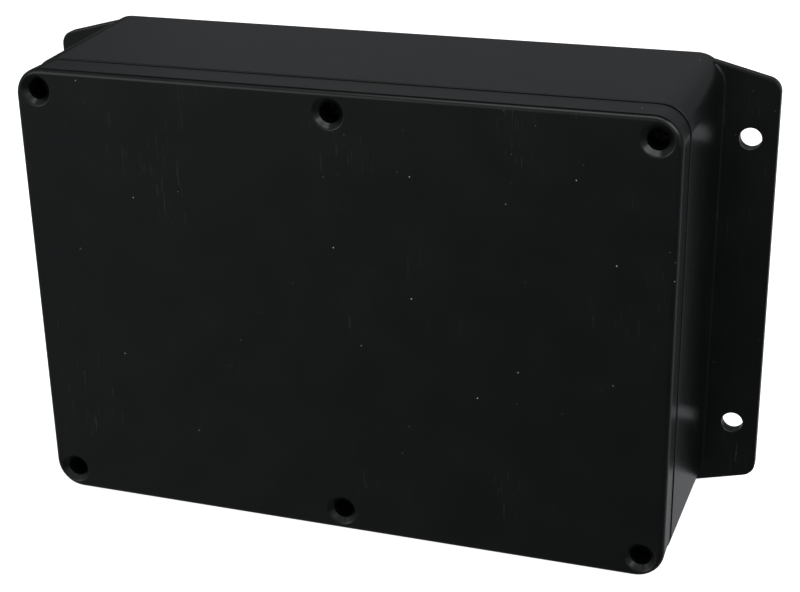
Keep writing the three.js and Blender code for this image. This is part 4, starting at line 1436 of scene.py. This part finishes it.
def make_shield(link):
    node = f"{link}_shield_frame"
    low, high = bench_box(node)
    x, y, _ = middle_of(node)
    half_x, half_y = (high[0] - low[0]) / 2, (high[1] - low[1]) / 2
    outer = rectangle(half_x, half_y, 0.9, x, y)
    inner = rectangle(half_x - 0.4, half_y - 0.4, 0.5, x, y)
    walls = closed_stack([(outer, low[2]), (outer, high[2]), (inner, high[2]), (inner, low[2])])
    make_piece(f"{link}_fence", [walls], "tinplate", stands_for=(node,))

    node = f"{link}_shield_cover"
    low, high = bench_box(node)
    half_x, half_y = (high[0] - low[0]) / 2, (high[1] - low[1]) / 2

    def outline(inset):
        return rectangle(half_x - inset, half_y - inset, 1.4 - inset * 0.6, x, y, 5)

    levels = [(outline(0), low[2])]
    edge = 0.55
    for i in range(5):
        turn = math.pi / 2 * i / 4
        levels.append((outline(edge * (1 - math.cos(turn))), high[2] - edge * (1 - math.sin(turn))))
    can = make_piece(f"{link}_can", [stack(levels)], "tinplate", stands_for=(node,))
    hollow = prism(rectangle(half_x - 0.35, half_y - 0.35, 1.1, x, y), low[2] - 1, high[2] - 0.35)
    cut(can, [hollow])
    holes = []
    for i in range(9):
        for k in range(7):
            if 1 < i < 7 and 1 < k < 5:
                continue
            hole = circle(0.55, x + (i - 4) * 4.4, y + (k - 3) * 4.6, 14)
            holes.append(prism(hole, high[2] - 1, high[2] + 1))
    cut(can, holes)
    dimples = []
    for i in range(4):
        for side in (-1, 1):
            px = x + (i - 1.5) * 9
            bead = crowned(lambda inset: circle(0.8 - inset, 0, 0, 18), 0, 0.16, 0.13, 2)
            turn = Matrix.Rotation(math.radians(-90 * side), 3, "X")
            dimples.append(moved(bead, px, y + side * (half_y - 0.02), low[2] + 1.6, turn))
    make_piece(f"{link}_can_dimples", dimples, "tinplate")
    press = crowned(lambda inset: rectangle(half_x * 0.42 - inset, half_y * 0.36 - inset, 2.0, x, y, 5),
                    high[2] - 0.05, high[2] + 0.12, 0.12, 3)
    make_piece(f"{link}_can_pressing", [press], "tinplate")


def make_cooling():
    low, high = bench_box("heat_spreader")
    spreader = soft_box(low[0], high[0], low[1], high[1], low[2], high[2], 0.3, 1.0, 2)
    make_piece("spreader_block", [spreader], "milled_aluminium", stands_for=("heat_spreader",))
    low, high = bench_box("thermal_pad")
    pad = soft_box(low[0], high[0], low[1], high[1], low[2], high[2], 0.2, 0.5, 2)
    make_piece("gap_pad", [pad], "thermal_pad", stands_for=("thermal_pad",))


# ------------------------------------------------------------------ the whole booster

make_camera()
make_floor()
make_lights()
refined_casting("case_casting", "base_housing", "case")
refined_casting("lid_casting", "lid", "lid")
make_gasket()
make_lid_screws()
for side in ("outdoor", "indoor"):
    make_antenna_jack(side)
    make_coax(side)
    make_duplexer(side)
for link in ("downlink", "uplink"):
    make_shield(link)
make_amplifiers()
make_power_jack()
make_status_light()
make_board()
make_board_screws()
make_tracks()
make_vias()
make_small_parts()
make_control_chip()
make_voltage_regulator()
make_capacitors()
make_inductor()
make_power_connector()
make_cooling()
